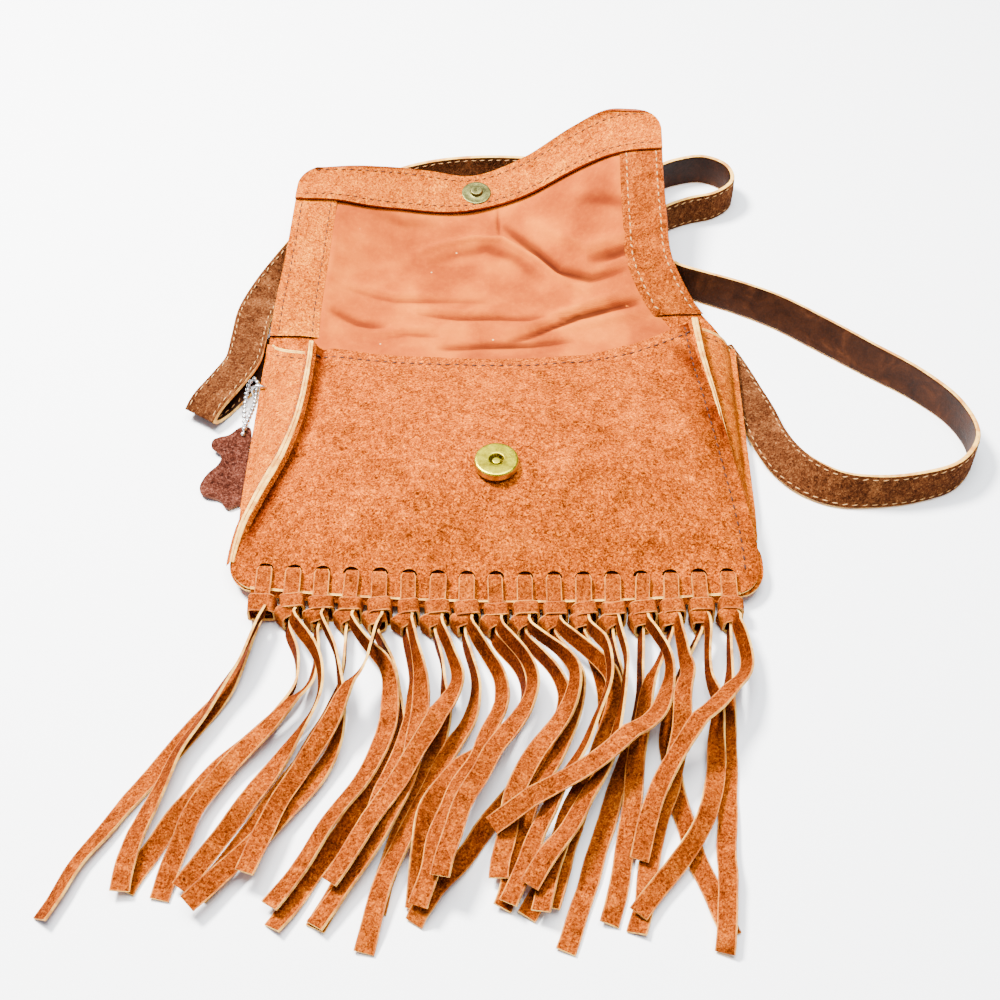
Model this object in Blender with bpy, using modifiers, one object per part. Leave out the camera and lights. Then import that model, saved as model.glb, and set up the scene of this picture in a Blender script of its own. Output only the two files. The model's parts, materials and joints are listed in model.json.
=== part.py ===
"""Fringed suede shoulder bag, lying on its back with the flap thrown open.

+Z is up, +Y runs from the fringe to the flap's end and +X is to the right of a person who stands at the
fringe. The origin is on the back panel's flat outer face, which rests on the ground. Every size in this file
is in millimetres, and MM turns it into Blender's metres where a mesh is made.
"""

import math

import bmesh
import bpy
import numpy as np
from mathutils import Vector

MM = 0.001

# Suede, lining and the gaps that pieces in touch keep
SUEDE = 1.3
GUSSET_SUEDE = 1.2
LINING = 0.5
BAND = 1.2
GAP = 0.35
LAYER_GAP = 0.6

# Body of the bag
HALF_WIDTH = 106.5
CORNER_RADIUS = 13.0
BOTTOM_Y = -76.0
BOTTOM_BOW = 5.0
FLANGE = 4.0
LEFT_FLANGE_RISE = 3.0
RIGHT_FLANGE_RISE = 1.5
GUSSET_END_Y = -44.5
SIDE_LIFT = 3.4

# Flap
FLAP_RISE_Y = 60.0
FLAP_CORNER_RADIUS = 12.0
END_BAND_LIFT = 1.3

# Fringe
STRIP_COUNT = 17
STRIP_PITCH = 11.46
STRIP_WIDTH = 7.0
STRIP_THICKNESS = 1.2
SLOT_WIDTH = 8.3
SLOT_HEIGHT = 2.5
SLOT_ABOVE_EDGE = 11.0
KNOT_SIZE = (10.0, 9.6, 8.4)
KNOT_BELOW_EDGE = 6.4

# Strap
STRAP_WIDTH = 16.0
STRAP_THICKNESS = 2.4

# Snap
SOCKET_CENTRE = (-0.5, -27.0)
SOCKET_RADIUS = 9.0
SNAP_LEG_OFFSET = 5.0
STUD_PLACE = (0.49, 0.957)
STUD_RADIUS = 7.2

ORANGE_SUEDE = (0.56, 0.19, 0.07, 1)
LIGHT_SUEDE = (0.72, 0.3, 0.12, 1)
COTTON = (0.7, 0.26, 0.11, 1)
DARK_LEATHER = (0.1, 0.03, 0.012, 1)
TAG_SUEDE = (0.22, 0.07, 0.03, 1)
BRASS = (0.5, 0.42, 0.16, 1)
STEEL = (0.6, 0.6, 0.62, 1)


# ---------------------------------------------------------------- curves


def lerp(low, high, share):
    return low + (high - low) * share


def ease(share):
    share = min(max(share, 0.0), 1.0)
    return share * share * (3 - 2 * share)


def track(*keys):
    """A smooth curve through keys. Each key is a place followed by the value, or the values, there."""
    place = np.array([key[0] for key in keys], float)
    value = np.array([key[1:] for key in keys], float)
    slope = np.gradient(value, place, axis=0)

    def at(where):
        where = min(max(where, place[0]), place[-1])
        i = min(int(np.searchsorted(place, where, side="right")) - 1, len(place) - 2)
        span = place[i + 1] - place[i]
        u = (where - place[i]) / span
        ends = value[i] * (2 * u**3 - 3 * u**2 + 1) + value[i + 1] * (3 * u**2 - 2 * u**3)
        out = ends + span * (slope[i] * (u**3 - 2 * u**2 + u) + slope[i + 1] * (u**3 - u**2))
        return out if len(out) > 1 else float(out[0])

    return at


def rounded(x, y, corner_y, radius):
    """The outline's distance from the middle, where a corner of this radius ends at y = corner_y."""
    into = (y - corner_y) if radius > 0 else (corner_y - y)
    radius = abs(radius)
    return x if into <= 0 else x - radius + math.sqrt(max(radius**2 - min(into, radius) ** 2, 0.0))


# The front's seams and its height, along y, from the bottom edge to the mouth
LEFT_SEAM = track((-80, 106.5), (-58, 105), (-36, 98), (-15, 90), (2, 86), (30, 84), (57, 84.5))
RIGHT_SEAM = track((-80, 105.5), (-54, 104), (-13, 98), (18, 93), (45, 89), (70, 87))
LEFT_HEIGHT = track((-80, 7), (-66, 9), (-56, 11), (-36, 14), (2, 18), (57, 15))
RIGHT_HEIGHT = track((-80, 7), (-66, 9), (-54, 11), (-13, 16), (18, 20), (70, 20))
MIDDLE_HEIGHT = track((-82, 7), (-70, 11), (-52, 20), (-27, 28), (0, 26.5), (25, 21.5), (50, 15))
MOUTH = track((0, 55.5), (0.2, 50), (0.48, 48), (0.75, 53), (1, 70))

# The flap's side edges along y, and its end along s: y, height, and how late the height comes
FLAP_LEFT = track(
    (-80, 106.5), (0, 106.5), (40, 106.5), (60, 106.4), (84, 105), (110, 103), (140, 101), (170, 99),
)
FLAP_RIGHT = track(
    (-80, 106.5), (0, 106.5), (40, 106.5), (58, 106), (72, 101), (88, 88), (105, 80), (130, 77.5), (195, 76),
)
FLAP_END = track(
    (0, 167), (0.15, 172), (0.3, 176.5), (0.45, 178), (0.6, 185), (0.75, 191), (0.9, 192), (1, 187),
)

# Heights of the flap from its left to its right edge, in rows from y = FLAP_RISE_Y to the flap's end
FLAP_PLACES = (0, 0.08, 0.2, 0.35, 0.5, 0.65, 0.8, 0.92, 1)
FLAP_HEIGHTS = (
    (0.0, (3.4, 2, 0, 0, 0, 0, 1, 3, 4)),
    (0.15, (7.5, 5, 0.5, 0, 0, 0, 1.5, 6, 9)),
    (0.28, (10.5, 8, 1.5, 0.3, 0, 0.5, 5, 14, 18)),
    (0.45, (13, 11, 4, 1, 0.5, 2, 11, 20.5, 25)),
    (0.7, (19, 17, 11, 5, 3.5, 8, 22, 32, 36)),
    (1.0, (27, 26, 22.5, 16.5, 12.5, 19, 34, 45, 48)),
)


def bottom_y(s):
    return BOTTOM_Y - BOTTOM_BOW * (1 - (2 * s - 1) ** 2)


def front_sides(y):
    """The left and the right end of the front panel at y."""
    corner_y = BOTTOM_Y + CORNER_RADIUS
    left = rounded(LEFT_SEAM(y), y, corner_y, -CORNER_RADIUS)
    return -left, rounded(RIGHT_SEAM(y), y, corner_y, -CORNER_RADIUS)


def front_height(x, y):
    """The height of the front panel's outer face."""
    left, right = -LEFT_SEAM(y), RIGHT_SEAM(y)
    s = min(max((x - left) / (right - left), 0.0), 1.0)
    edge = lerp(LEFT_HEIGHT(y), RIGHT_HEIGHT(y), s)
    crown = 1 - abs(2 * s - 1) ** 2.3
    standing = ease((y + 60) / 16)
    flange = LEFT_FLANGE_RISE * max(0.0, 1 - (x - left) / FLANGE)
    flange += RIGHT_FLANGE_RISE * max(0.0, 1 - (right - x) / FLANGE)
    return edge + (MIDDLE_HEIGHT(y) - edge) * crown + flange * standing


def front(s, t):
    low, high = bottom_y(s), MOUTH(s)
    y = lerp(low, high, t)
    left = front_sides(lerp(bottom_y(0), MOUTH(0), t))[0]
    right = front_sides(lerp(bottom_y(1), MOUTH(1), t))[1]
    x = lerp(left, right, s)
    return x, y, front_height(x, y)


def flap_height(s, share):
    rows = [(place, track(*zip(FLAP_PLACES, heights))(s)) for place, heights in FLAP_HEIGHTS]
    return track(*rows)(share)


def back_height(x, y):
    """The height of the back panel's outer face: raised along its sides and at its bottom edge."""
    lift = SIDE_LIFT * ease((abs(x) - 80) / 13) * ease((y + 50) / 22)
    if y >= -46:
        return lift
    under_front = front_height(x, y) - 2 * SUEDE - 0.55
    return lift + under_front * ease((-46 - y) / 15)


def back(s, t):
    """The outer face of the back panel and flap, one sheet. t goes from the bottom edge to the flap's end."""
    end_y = FLAP_END(s)
    y = lerp(bottom_y(s), end_y, t)
    left_end, right_end = FLAP_END(0), FLAP_END(1)
    left_y, right_y = lerp(bottom_y(0), left_end, t), lerp(bottom_y(1), right_end, t)
    corner_y = BOTTOM_Y + CORNER_RADIUS
    left = rounded(FLAP_LEFT(left_y), left_y, corner_y, -CORNER_RADIUS)
    left = rounded(left, left_y, left_end - FLAP_CORNER_RADIUS, FLAP_CORNER_RADIUS)
    right = rounded(FLAP_RIGHT(right_y), right_y, corner_y, -CORNER_RADIUS)
    right = rounded(right, right_y, right_end - FLAP_CORNER_RADIUS, FLAP_CORNER_RADIUS)
    x = lerp(-left, right, s)
    z = back_height(x, y)
    if y > FLAP_RISE_Y:
        share = (y - FLAP_RISE_Y) / (end_y - FLAP_RISE_Y)
        z = lerp(z, max(flap_height(s, share), 0.0), ease((y - FLAP_RISE_Y) / 18))
    return x, y, z


# ---------------------------------------------------------------- Blender


def clear_scene():
    for thing in list(bpy.data.objects):
        bpy.data.objects.remove(thing, do_unlink=True)


def collection(name):
    made = bpy.data.collections.new(name)
    bpy.context.scene.collection.children.link(made)
    return made


def material(name, colour, roughness, metallic=0.0):
    made = bpy.data.materials.new(name)
    made.use_nodes = True
    shader = made.node_tree.nodes["Principled BSDF"]
    shader.inputs["Base Color"].default_value = colour
    shader.inputs["Roughness"].default_value = roughness
    shader.inputs["Metallic"].default_value = metallic
    return made


def piece(name, bm, finish, group, smooth=True):
    """Makes the bmesh, whose points are in millimetres, an object of this name."""
    for vertex in bm.verts:
        vertex.co *= MM
    mesh = bpy.data.meshes.new(name)
    bm.to_mesh(mesh)
    bm.free()
    made = bpy.data.objects.new(name, mesh)
    group.objects.link(made)
    if finish:
        mesh.materials.append(finish)
    if smooth:
        mesh.shade_smooth()
        mesh.set_sharp_from_angle(angle=math.radians(40))
    return made


def cutter(name, bm, group):
    made = piece(name, bm, None, group, smooth=False)
    made.hide_render = True
    made.display_type = "WIRE"
    return made


def cut(target, *tools):
    for tool in tools:
        modifier = target.modifiers.new("cut by " + tool.name, "BOOLEAN")
        modifier.operation = "DIFFERENCE"
        modifier.object = tool


def grid(surface, columns, rows):
    """A bmesh grid whose points are surface(column, row)."""
    bm = bmesh.new()
    across, along = len(columns) - 1, len(rows) - 1
    bmesh.ops.create_grid(bm, x_segments=across, y_segments=along, size=0.5)
    for vertex in bm.verts:
        column = columns[round((vertex.co.x + 0.5) * across)]
        row = rows[round((vertex.co.y + 0.5) * along)]
        vertex.co = surface(column, row)
    return bm


def sheet(name, surface, columns, rows, thickness, finish, group):
    """A sheet that lies on this surface, or under it where the thickness is below 0."""
    bm = grid(surface, columns, rows)
    raised = bmesh.ops.extrude_face_region(bm, geom=bm.faces[:])["geom"]
    points = [element for element in raised if isinstance(element, bmesh.types.BMVert)]
    bmesh.ops.translate(bm, vec=(0, 0, thickness), verts=points)
    bmesh.ops.recalc_face_normals(bm, faces=bm.faces)
    return piece(name, bm, finish, group)


def bar(stations, closed=False):
    """A bmesh swept through stations, each a centre, a half-width vector and a half-thickness vector."""
    bm = bmesh.new()
    rings = []
    for centre, wide, thick in stations:
        corners = (centre + wide + thick, centre - wide + thick, centre - wide - thick, centre + wide - thick)
        rings.append([bm.verts.new(corner) for corner in corners])
    pairs = list(zip(rings, rings[1:]))
    if closed:
        pairs.append((rings[-1], rings[0]))
    for first, second in pairs:
        for i in range(4):
            j = (i + 1) % 4
            bm.faces.new((first[i], first[j], second[j], second[i]))
    if not closed:
        bm.faces.new(rings[0])
        bm.faces.new(rings[-1])
    bmesh.ops.recalc_face_normals(bm, faces=bm.faces)
    return bm


def turned(profile, centre, axis=Vector((0, 0, 1)), sides=28):
    """A closed profile of (radius, height) points turned about an axis through centre."""
    bm = bmesh.new()
    ring = [bm.verts.new((radius, 0, height)) for radius, height in profile]
    sides_of_ring = zip(ring, ring[1:] + ring[:1])
    edges = [bm.edges.new((a, b)) for a, b in sides_of_ring if max(a.co.x, b.co.x) > 0]
    bmesh.ops.spin(
        bm, geom=ring + edges, cent=(0, 0, 0), axis=(0, 0, 1), angle=math.tau, steps=sides, use_merge=True
    )
    bmesh.ops.remove_doubles(bm, verts=bm.verts, dist=1e-4)
    bmesh.ops.recalc_face_normals(bm, faces=bm.faces)
    turn = Vector((0, 0, 1)).rotation_difference(axis).to_matrix().to_4x4()
    bmesh.ops.transform(bm, matrix=turn, verts=bm.verts)
    bmesh.ops.translate(bm, vec=Vector(centre), verts=bm.verts)
    return bm


def box(low, high):
    bm = bmesh.new()
    bmesh.ops.create_cube(bm, size=1)
    size = Vector(high) - Vector(low)
    bmesh.ops.scale(bm, vec=size, verts=bm.verts)
    bmesh.ops.translate(bm, vec=(Vector(low) + Vector(high)) / 2, verts=bm.verts)
    return bm


def united(name, bodies, finish, group):
    """One solid joined from several closed bmeshes that run into each other."""
    base = piece(name, bodies[0], finish, group)
    tools = [piece(name + "_tool", body, None, group, smooth=False) for body in bodies[1:]]
    for tool in tools:
        joint = base.modifiers.new("Join", "BOOLEAN")
        joint.operation = "UNION"
        joint.object = tool
    bpy.context.view_layer.update()
    joined = bpy.data.meshes.new_from_object(base.evaluated_get(bpy.context.evaluated_depsgraph_get()))
    base.modifiers.clear()
    base.data = joined
    joined.name = name
    for tool in tools:
        bpy.data.objects.remove(tool, do_unlink=True)
    return base


def smooth_path(points, spacing, closed=False):
    """Points a spacing apart on a smooth curve through the route; each row may hold more values."""
    rows = np.array(points, float)
    if closed:
        rows = np.vstack([rows[-1:], rows, rows[:2]])
    steps = np.linalg.norm(np.diff(rows[:, :3], axis=0), axis=1)
    along = np.concatenate([[0], np.cumsum(steps)])
    curve = track(*[(a, *row) for a, row in zip(along, rows)])
    start, end = (along[1], along[-2]) if closed else (0.0, along[-1])
    count = max(2, round((end - start) / spacing))
    places = np.linspace(start, end, count + 1)
    return [curve(a) for a in (places[:-1] if closed else places)]


# ---------------------------------------------------------------- pieces of the bag


def spread(count, power=1.0):
    """Even shares from 0 to 1, drawn towards both ends where power is over 1."""
    shares = []
    for i in range(count + 1):
        away = 2 * i / count - 1
        shares.append(0.5 + 0.5 * math.copysign(1 - (1 - abs(away)) ** power, away))
    return shares


def slot_place(number):
    x = (number - (STRIP_COUNT - 1) / 2) * STRIP_PITCH
    s = 0.5 + x / (2 * HALF_WIDTH)
    return x, bottom_y(s)


def merged(bodies):
    """One bmesh of several bodies that stay apart."""
    joined = bmesh.new()
    for body in bodies:
        mesh = bpy.data.meshes.new("merged")
        body.to_mesh(mesh)
        body.free()
        joined.from_mesh(mesh)
        bpy.data.meshes.remove(mesh)
    return joined


def ring_hole_cutter():
    return turned([(0, -6), (1.4, -6), (1.4, 14), (0, 14)], (*RING_HOLE, 0), sides=14)


def slot_cutter(group):
    bodies = []
    for number in range(STRIP_COUNT):
        x, edge = slot_place(number)
        y = edge + SLOT_ABOVE_EDGE
        low = (x - SLOT_WIDTH / 2, y - SLOT_HEIGHT / 2, 0.5)
        bodies.append(box(low, (x + SLOT_WIDTH / 2, y + SLOT_HEIGHT / 2, 24)))
    return cutter("fringe_slots", merged(bodies + [ring_hole_cutter()]), group)


RING_HOLE = (-103.4, 36.0)


def front_panel(finish, group):
    margin = FLANGE / (2 * HALF_WIDTH * 0.82)
    columns = [0, margin] + [lerp(margin, 1 - margin, s) for s in spread(12, 1.25)[1:-1]] + [1 - margin, 1]
    rows = [0, 0.03, 0.07, 0.12, 0.2, 0.3, 0.42, 0.55, 0.7, 0.85, 1]
    return sheet("front_panel", front, columns, rows, -SUEDE, finish, group)


# Columns and rows of the back panel and the flap, as shares; the layers on the flap use the same ones
BACK_COLUMNS = (0.05, 0.111, 0.2, 0.3, 0.4, 0.5, 0.6, 0.7, 0.8, 0.889, 0.95)
BAG_ROWS = (0, 0.015, 0.035, 0.06, 0.09, 0.125, 0.17, 0.22, 0.4, 0.54, 0.58)
FLAP_ROWS = (0.62, 0.665, 0.71, 0.755, 0.8, 0.84, 0.88)
BAND_ROWS = (0.94, 0.965, 0.985)


def back_panel_and_flap(finish, group):
    columns = [0, *BACK_COLUMNS, 1]
    rows = [*BAG_ROWS, *FLAP_ROWS, *BAND_ROWS, 1]
    return sheet("back_panel_and_flap", back, columns, rows, SUEDE, finish, group)


def gusset(name, side, finish, group):
    """A side strip: a margin under the front's flange, then a web that bulges out and down to the back."""
    seam = LEFT_SEAM if side < 0 else RIGHT_SEAM
    top = MOUTH(0.0 if side < 0 else 1.0) - 0.6
    back_top = 64.0
    under_front = SUEDE + 0.7 + GUSSET_SUEDE / 2
    over_back = SUEDE + 0.6 + GUSSET_SUEDE / 2

    def section(u, v):
        y = lerp(top, GUSSET_END_Y, v)
        edge = seam(y)
        hem = edge - FLANGE
        hem_height = front_height(side * hem, y) - under_front
        edge_height = front_height(side * edge, y) - under_front
        if u < 0.15:
            share = u / 0.15
            return side * lerp(edge, hem, share), y, lerp(edge_height, hem_height, share)
        back_y = lerp(back_top, GUSSET_END_Y, v)
        foot = HALF_WIDTH - FLANGE + 0.6
        foot_height = back_height(foot, back_y) + over_back + 0.3
        drop = min(2.4, 0.35 * (hem_height - foot_height))
        if u <= 0.85:
            turn = math.pi / 2 * (u - 0.25) / 0.6
            start = hem + 0.8
            share = (math.sin(turn), 1 - math.cos(turn))
            x = lerp(start, foot, share[0])
            z = lerp(hem_height - drop, foot_height, share[1])
            return side * x, lerp(y, back_y, max(share[1], 0.0)), z
        share = (u - 0.85) / 0.15
        margin_height = back_height(HALF_WIDTH, back_y) + over_back + 0.6 * ease((back_y - 54) / 9)
        return side * lerp(foot + 0.8, HALF_WIDTH, share), back_y, margin_height

    columns = [0, 0.1499, 0.25, 0.37, 0.49, 0.61, 0.73, 0.85, 0.86, 1]
    made = piece(name, grid(section, columns, spread(9)), finish, group)
    wall = made.modifiers.new("Thickness", "SOLIDIFY")
    wall.thickness = GUSSET_SUEDE * MM
    wall.offset = 0
    return made


# Shares of the flap's width and length at the edges of its bands
LEFT_BAND_S = 0.111
RIGHT_BAND_S = 0.889
BAND_START = 0.915
SEAM_GAP = 0.004


def flap_layer(name, columns, rows, lift, thickness, finish, group):
    """A layer on the flap's inner face, which is raised by lift(t) and keeps the face's own grid."""

    def surface(s, t):
        x, y, z = back(s, t)
        return x, y, z + lift(t)

    return sheet(name, surface, columns, rows, thickness, finish, group)


def end_band_lift(t):
    share = (t - BAND_START) / (1 - BAND_START)
    return SUEDE + LAYER_GAP + END_BAND_LIFT * (1 - ease(share * 1.3))


def flap_bands(finish, group):
    """The three bands of suede round the flap's inner face: the end band's inner edge stands off a little."""
    rows = [BAND_START, *BAND_ROWS, 1]
    flap_layer("flap_end_band", [0, *BACK_COLUMNS, 1], rows, end_band_lift, BAND, finish, group)

    def side_lift(t):
        return SUEDE + LAYER_GAP

    rows = [*FLAP_ROWS, BAND_START - SEAM_GAP]
    left = [0, BACK_COLUMNS[0], LEFT_BAND_S - SEAM_GAP]
    flap_layer("flap_left_band", left, rows, side_lift, BAND, finish, group)
    right = [RIGHT_BAND_S + SEAM_GAP, BACK_COLUMNS[-1], 1]
    flap_layer("flap_right_band", right, rows, side_lift, BAND, finish, group)


def lining(finish, group):
    """One sheet of cotton: down the flap and inside the back, round the bottom and up inside the front."""
    turn_t = 0.17
    on_back = [BAND_START - SEAM_GAP, *reversed(FLAP_ROWS), 0.58, 0.54, 0.4, 0.22, turn_t]
    front_clear = SUEDE + 4.2 + LINING

    def inside(s, t):
        """A point on the back panel, drawn in towards the middle where the lining goes down into the bag."""
        x, y, z = back(s, t)
        x *= lerp(1, 0.84, ease((52 - y) / 20))
        return x, y, (back_height(x, y) if y < FLAP_RISE_Y else z) + SUEDE + LAYER_GAP

    def surface(s, row):
        if row < len(on_back):
            return inside(s, on_back[round(row)])
        x, y_low, z_low = inside(s, turn_t)
        step = row - len(on_back) + 1
        if step <= 4:
            turn = math.pi * step / 4
            z_top = front_height(x, y_low) - front_clear
            z = lerp(z_low, z_top, (1 - math.cos(turn)) / 2)
            return x, y_low - 4.0 * math.sin(turn), z
        y = lerp(y_low, MOUTH(s) - 3, (step - 4) / 4)
        return x, y, front_height(x, y) - front_clear

    columns = [RIGHT_BAND_S - SEAM_GAP / 2, *reversed(BACK_COLUMNS[2:-2]), LEFT_BAND_S + SEAM_GAP / 2]
    made = piece("lining", grid(surface, columns, range(len(on_back) + 8)), finish, group)
    wall = made.modifiers.new("Thickness", "SOLIDIFY")
    wall.thickness = LINING * MM
    wall.offset = 1
    return made


def snap(brass, steel, group, tools):
    """A magnetic snap: the socket and its back washer on the front panel, the stud on the flap's end band."""
    x, y = SOCKET_CENTRE
    z = front_height(x, y) + 0.45
    radius = SOCKET_RADIUS
    case = [(3.1, 0.9), (3.1, 3.4), (7.4, 3.6), (8.4, 3.3), (radius, 2.6), (radius, 0), (0, 0)]
    case += [(0, 2.2), (1.2, 2.2), (1.2, 0.9)]
    legs, holes = [], []
    for middle in (x - SNAP_LEG_OFFSET, x + SNAP_LEG_OFFSET):
        legs.append(box((middle - 0.4, y - 1.6, z - 4.5), (middle + 0.4, y + 1.6, z + 0.5)))
        holes.append(box((middle - 0.75, y - 2, z - 6), (middle + 0.75, y + 2, z - 0.1)))
    united("snap_socket", [turned(case, (x, y, z))] + legs, brass, group)
    washer = [(0, 0), (7, 0), (7, 0.6), (0, 0.6)]
    plate = piece("snap_socket_washer", turned(washer, (x, y, z - SUEDE - 3.1), sides=20), steel, group)
    leg_holes = cutter("snap_leg_holes", merged(holes), tools)
    cut(plate, leg_holes)
    cut(bpy.data.objects["front_panel"], leg_holes)
    s, t = STUD_PLACE
    point, along, beside = (Vector(back(s, t)), Vector(back(s, t + 0.01)), Vector(back(s + 0.01, t)))
    axis = (beside - point).cross(along - point).normalized()
    lift = Vector((0, 0, end_band_lift(t) + BAND + 1.0))
    stud = [(0, 0), (STUD_RADIUS, 0), (STUD_RADIUS, 0.6), (3, 0.9), (3, 2.4), (2.2, 2.9), (0, 2.9)]
    piece("snap_stud", turned(stud, point + lift + axis * 0.35, axis, sides=24), brass, group)


# ---------------------------------------------------------------- fringe

# Each strip's two tails: how far the end lies to the right, an early kick to the right, the bow of its
# middle to the right, and how far the tail reaches towards the viewer.
TAILS = (
    ((-60, 7, -2, 128), (-36, 5, -8, 118)),
    ((-44, 16, 0, 116), (-27, 12, 12, 116)),
    ((-44, 15, -7, 118), (-35, 4, 22, 122)),
    ((-42, 3, 9, 116), (-19, 10, 17, 121)),
    ((-27, 8, 15, 127), (-40, 6, -2, 110)),
    ((-24, 4, 10, 126), (-26, 0, 17, 126)),
    ((-16, 6, 5, 120), (-34, 8, 10, 112)),
    ((-30, 12, 0, 134), (-14, 14, 4, 120)),
    ((-25, 24, -8, 118), (-18, 16, 2, 112)),
    ((-36, 16, 13, 123), (-10, 20, 0, 108)),
    ((-18, 14, 1, 118), (-8, 16, 8, 121)),
    ((-21, 6, 11, 121), (-30, 10, 6, 118)),
    ((-25, 6, 2, 119), (-34, 2, 12, 114)),
    ((-31, 3, 3, 134), (-58, 0, 30, 92)),
    ((-27, -3, -1, 125), (-21, 4, 3, 128)),
    ((2, -3, -14, 129), (-31, -6, 19, 123)),
    ((-12, 0, 0, 136), (-42, 15, -5, 104)),
)
TAIL_STEPS = 12
TAIL_STEM = 5.6
HIGHEST_START = 6.2
HEAP_CORNER = (-190, -260)
HEAP_SIZE = (330, 220)


def tail_plan(start, sway, kick, bow, reach):
    """The points of one tail's middle line in plan, from its knot to its end."""
    points = [start]
    for step in range(TAIL_STEPS):
        u = step / (TAIL_STEPS - 1)
        side = sway * u + kick * 25 * u**1.5 * (1 - u) ** 4 + bow * math.sin(math.pi * u)
        points.append((start[0] + side, start[1] - TAIL_STEM - (reach - TAIL_STEM) * u))
    return np.array(points)


class Heap:
    """The height of the tails already laid on the ground, on a grid of 1 mm squares."""

    def __init__(self):
        self.top = np.zeros(HEAP_SIZE)

    def squares(self, points):
        index = np.round(points - np.array(HEAP_CORNER)).astype(int)
        return np.clip(index[..., 0], 0, HEAP_SIZE[0] - 1), np.clip(index[..., 1], 0, HEAP_SIZE[1] - 1)

    def patch(self, centre, ahead, beside, length, width):
        forward = np.arange(-length, length + 0.1, 0.8)
        across = np.arange(-width, width + 0.1, 0.8)
        return centre + forward[:, None, None] * ahead + across[None, :, None] * beside

    def under(self, centre, ahead, beside, length, width):
        return self.top[self.squares(self.patch(centre, ahead, beside, length, width))].max()

    def lay(self, centre, ahead, beside, length, width, height):
        np.maximum.at(self.top, self.squares(self.patch(centre, ahead, beside, length, width)), height)


def lay_tail(heap, plan, start_height):
    """Lays a flat tail on the heap and gives its stations."""
    ahead = np.gradient(plan, axis=0)
    ahead /= np.linalg.norm(ahead, axis=1)[:, None]
    beside = np.stack([-ahead[:, 1], ahead[:, 0]], axis=1)
    spans = np.linalg.norm(np.diff(plan, axis=0), axis=1)
    half = STRIP_WIDTH / 2
    reach = max(spans) + 1.5
    rest = [heap.under(p, a, b, reach, half + 1.2) for p, a, b in zip(plan, ahead, beside)]
    low = np.array(rest) + GAP
    low[0] = min(max(low[0], start_height), HIGHEST_START)
    low[1] = max(low[1], start_height - 0.6)
    height = low.copy()
    for _ in range(3):
        middle = 0.5 * height[1:-1] + 0.25 * (height[:-2] + height[2:])
        height[1:-1] = np.maximum(low[1:-1], middle)
    for i in range(len(spans)):
        for share in np.linspace(0, 1, 8):
            centre = lerp(plan[i], plan[i + 1], share)
            across = lerp(beside[i], beside[i + 1], share)
            top = lerp(height[i], height[i + 1], share) + STRIP_THICKNESS
            heap.lay(centre, ahead[i], across, spans[i] / 12, half + 0.3, top)
    stations = []
    for p, b, z in zip(plan, beside, height):
        centre = Vector((p[0], p[1], z + STRIP_THICKNESS / 2))
        stations.append((centre, Vector((b[0], b[1], 0)) * half, Vector((0, 0, STRIP_THICKNESS / 2))))
    return stations


def strip_loop(x, edge):
    """The closed loop of a strip: out of the slot, down over the bottom edge and back under it."""
    slot = edge + SLOT_ABOVE_EDGE
    over = GAP + 0.3 + STRIP_THICKNESS / 2
    under = 2 * SUEDE + 0.55 + over

    def above(y):
        return front_height(x, y) + over

    def below(y):
        return front_height(x, y) - under

    points = [
        (slot - 0.1, above(slot) + 0.2),
        (slot - 3.5, above(slot - 3.5)),
        (edge + 3.5, above(edge + 3.5)),
        (edge - 0.4, above(edge) - 0.1),
        (edge - 1.6, above(edge) - 1.6),
        (edge - 1.6, below(edge) + 1.0),
        (edge - 0.2, below(edge)),
        (edge + 4.5, below(edge + 4.5)),
        (slot - 1.0, below(slot)),
        (slot + 0.1, below(slot) + 0.3),
        (slot + 0.2, (above(slot) + below(slot)) / 2),
    ]
    stations = []
    count = len(points)
    for i, (y, z) in enumerate(points):
        before, after = points[i - 1], points[(i + 1) % count]
        normal = Vector((0, before[1] - after[1], after[0] - before[0])).normalized()
        stations.append((Vector((x, y, z)), Vector((STRIP_WIDTH / 2, 0, 0)), normal * STRIP_THICKNESS / 2))
    return bar(stations, closed=True)


def knot(x, edge):
    bm = bmesh.new()
    bmesh.ops.create_icosphere(bm, subdivisions=2, radius=0.5)
    bmesh.ops.scale(bm, vec=KNOT_SIZE, verts=bm.verts)
    bmesh.ops.translate(bm, vec=(x, edge - KNOT_BELOW_EDGE, KNOT_SIZE[2] / 2 + 0.2), verts=bm.verts)
    return bm


def fringe(finish, group):
    """Seventeen strips, each looped through a slot, knotted under the bottom edge and ending in two tails."""
    heap = Heap()
    laid = {}
    for turn in (0, 1):
        for number in range(STRIP_COUNT):
            x, edge = slot_place(number)
            side = 1.6 * (1 if turn else -1)
            start = (x + side, edge - KNOT_BELOW_EDGE)
            plan = tail_plan(start, *TAILS[number][turn])
            laid[number, turn] = bar(lay_tail(heap, plan, 3.4 if turn else 1.2))
    for number in range(STRIP_COUNT):
        x, edge = slot_place(number)
        bodies = [knot(x, edge), strip_loop(x, edge), laid[number, 0], laid[number, 1]]
        united(f"fringe_{number + 1:02d}", bodies, finish, group)


# ---------------------------------------------------------------- strap, tag and chain

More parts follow.
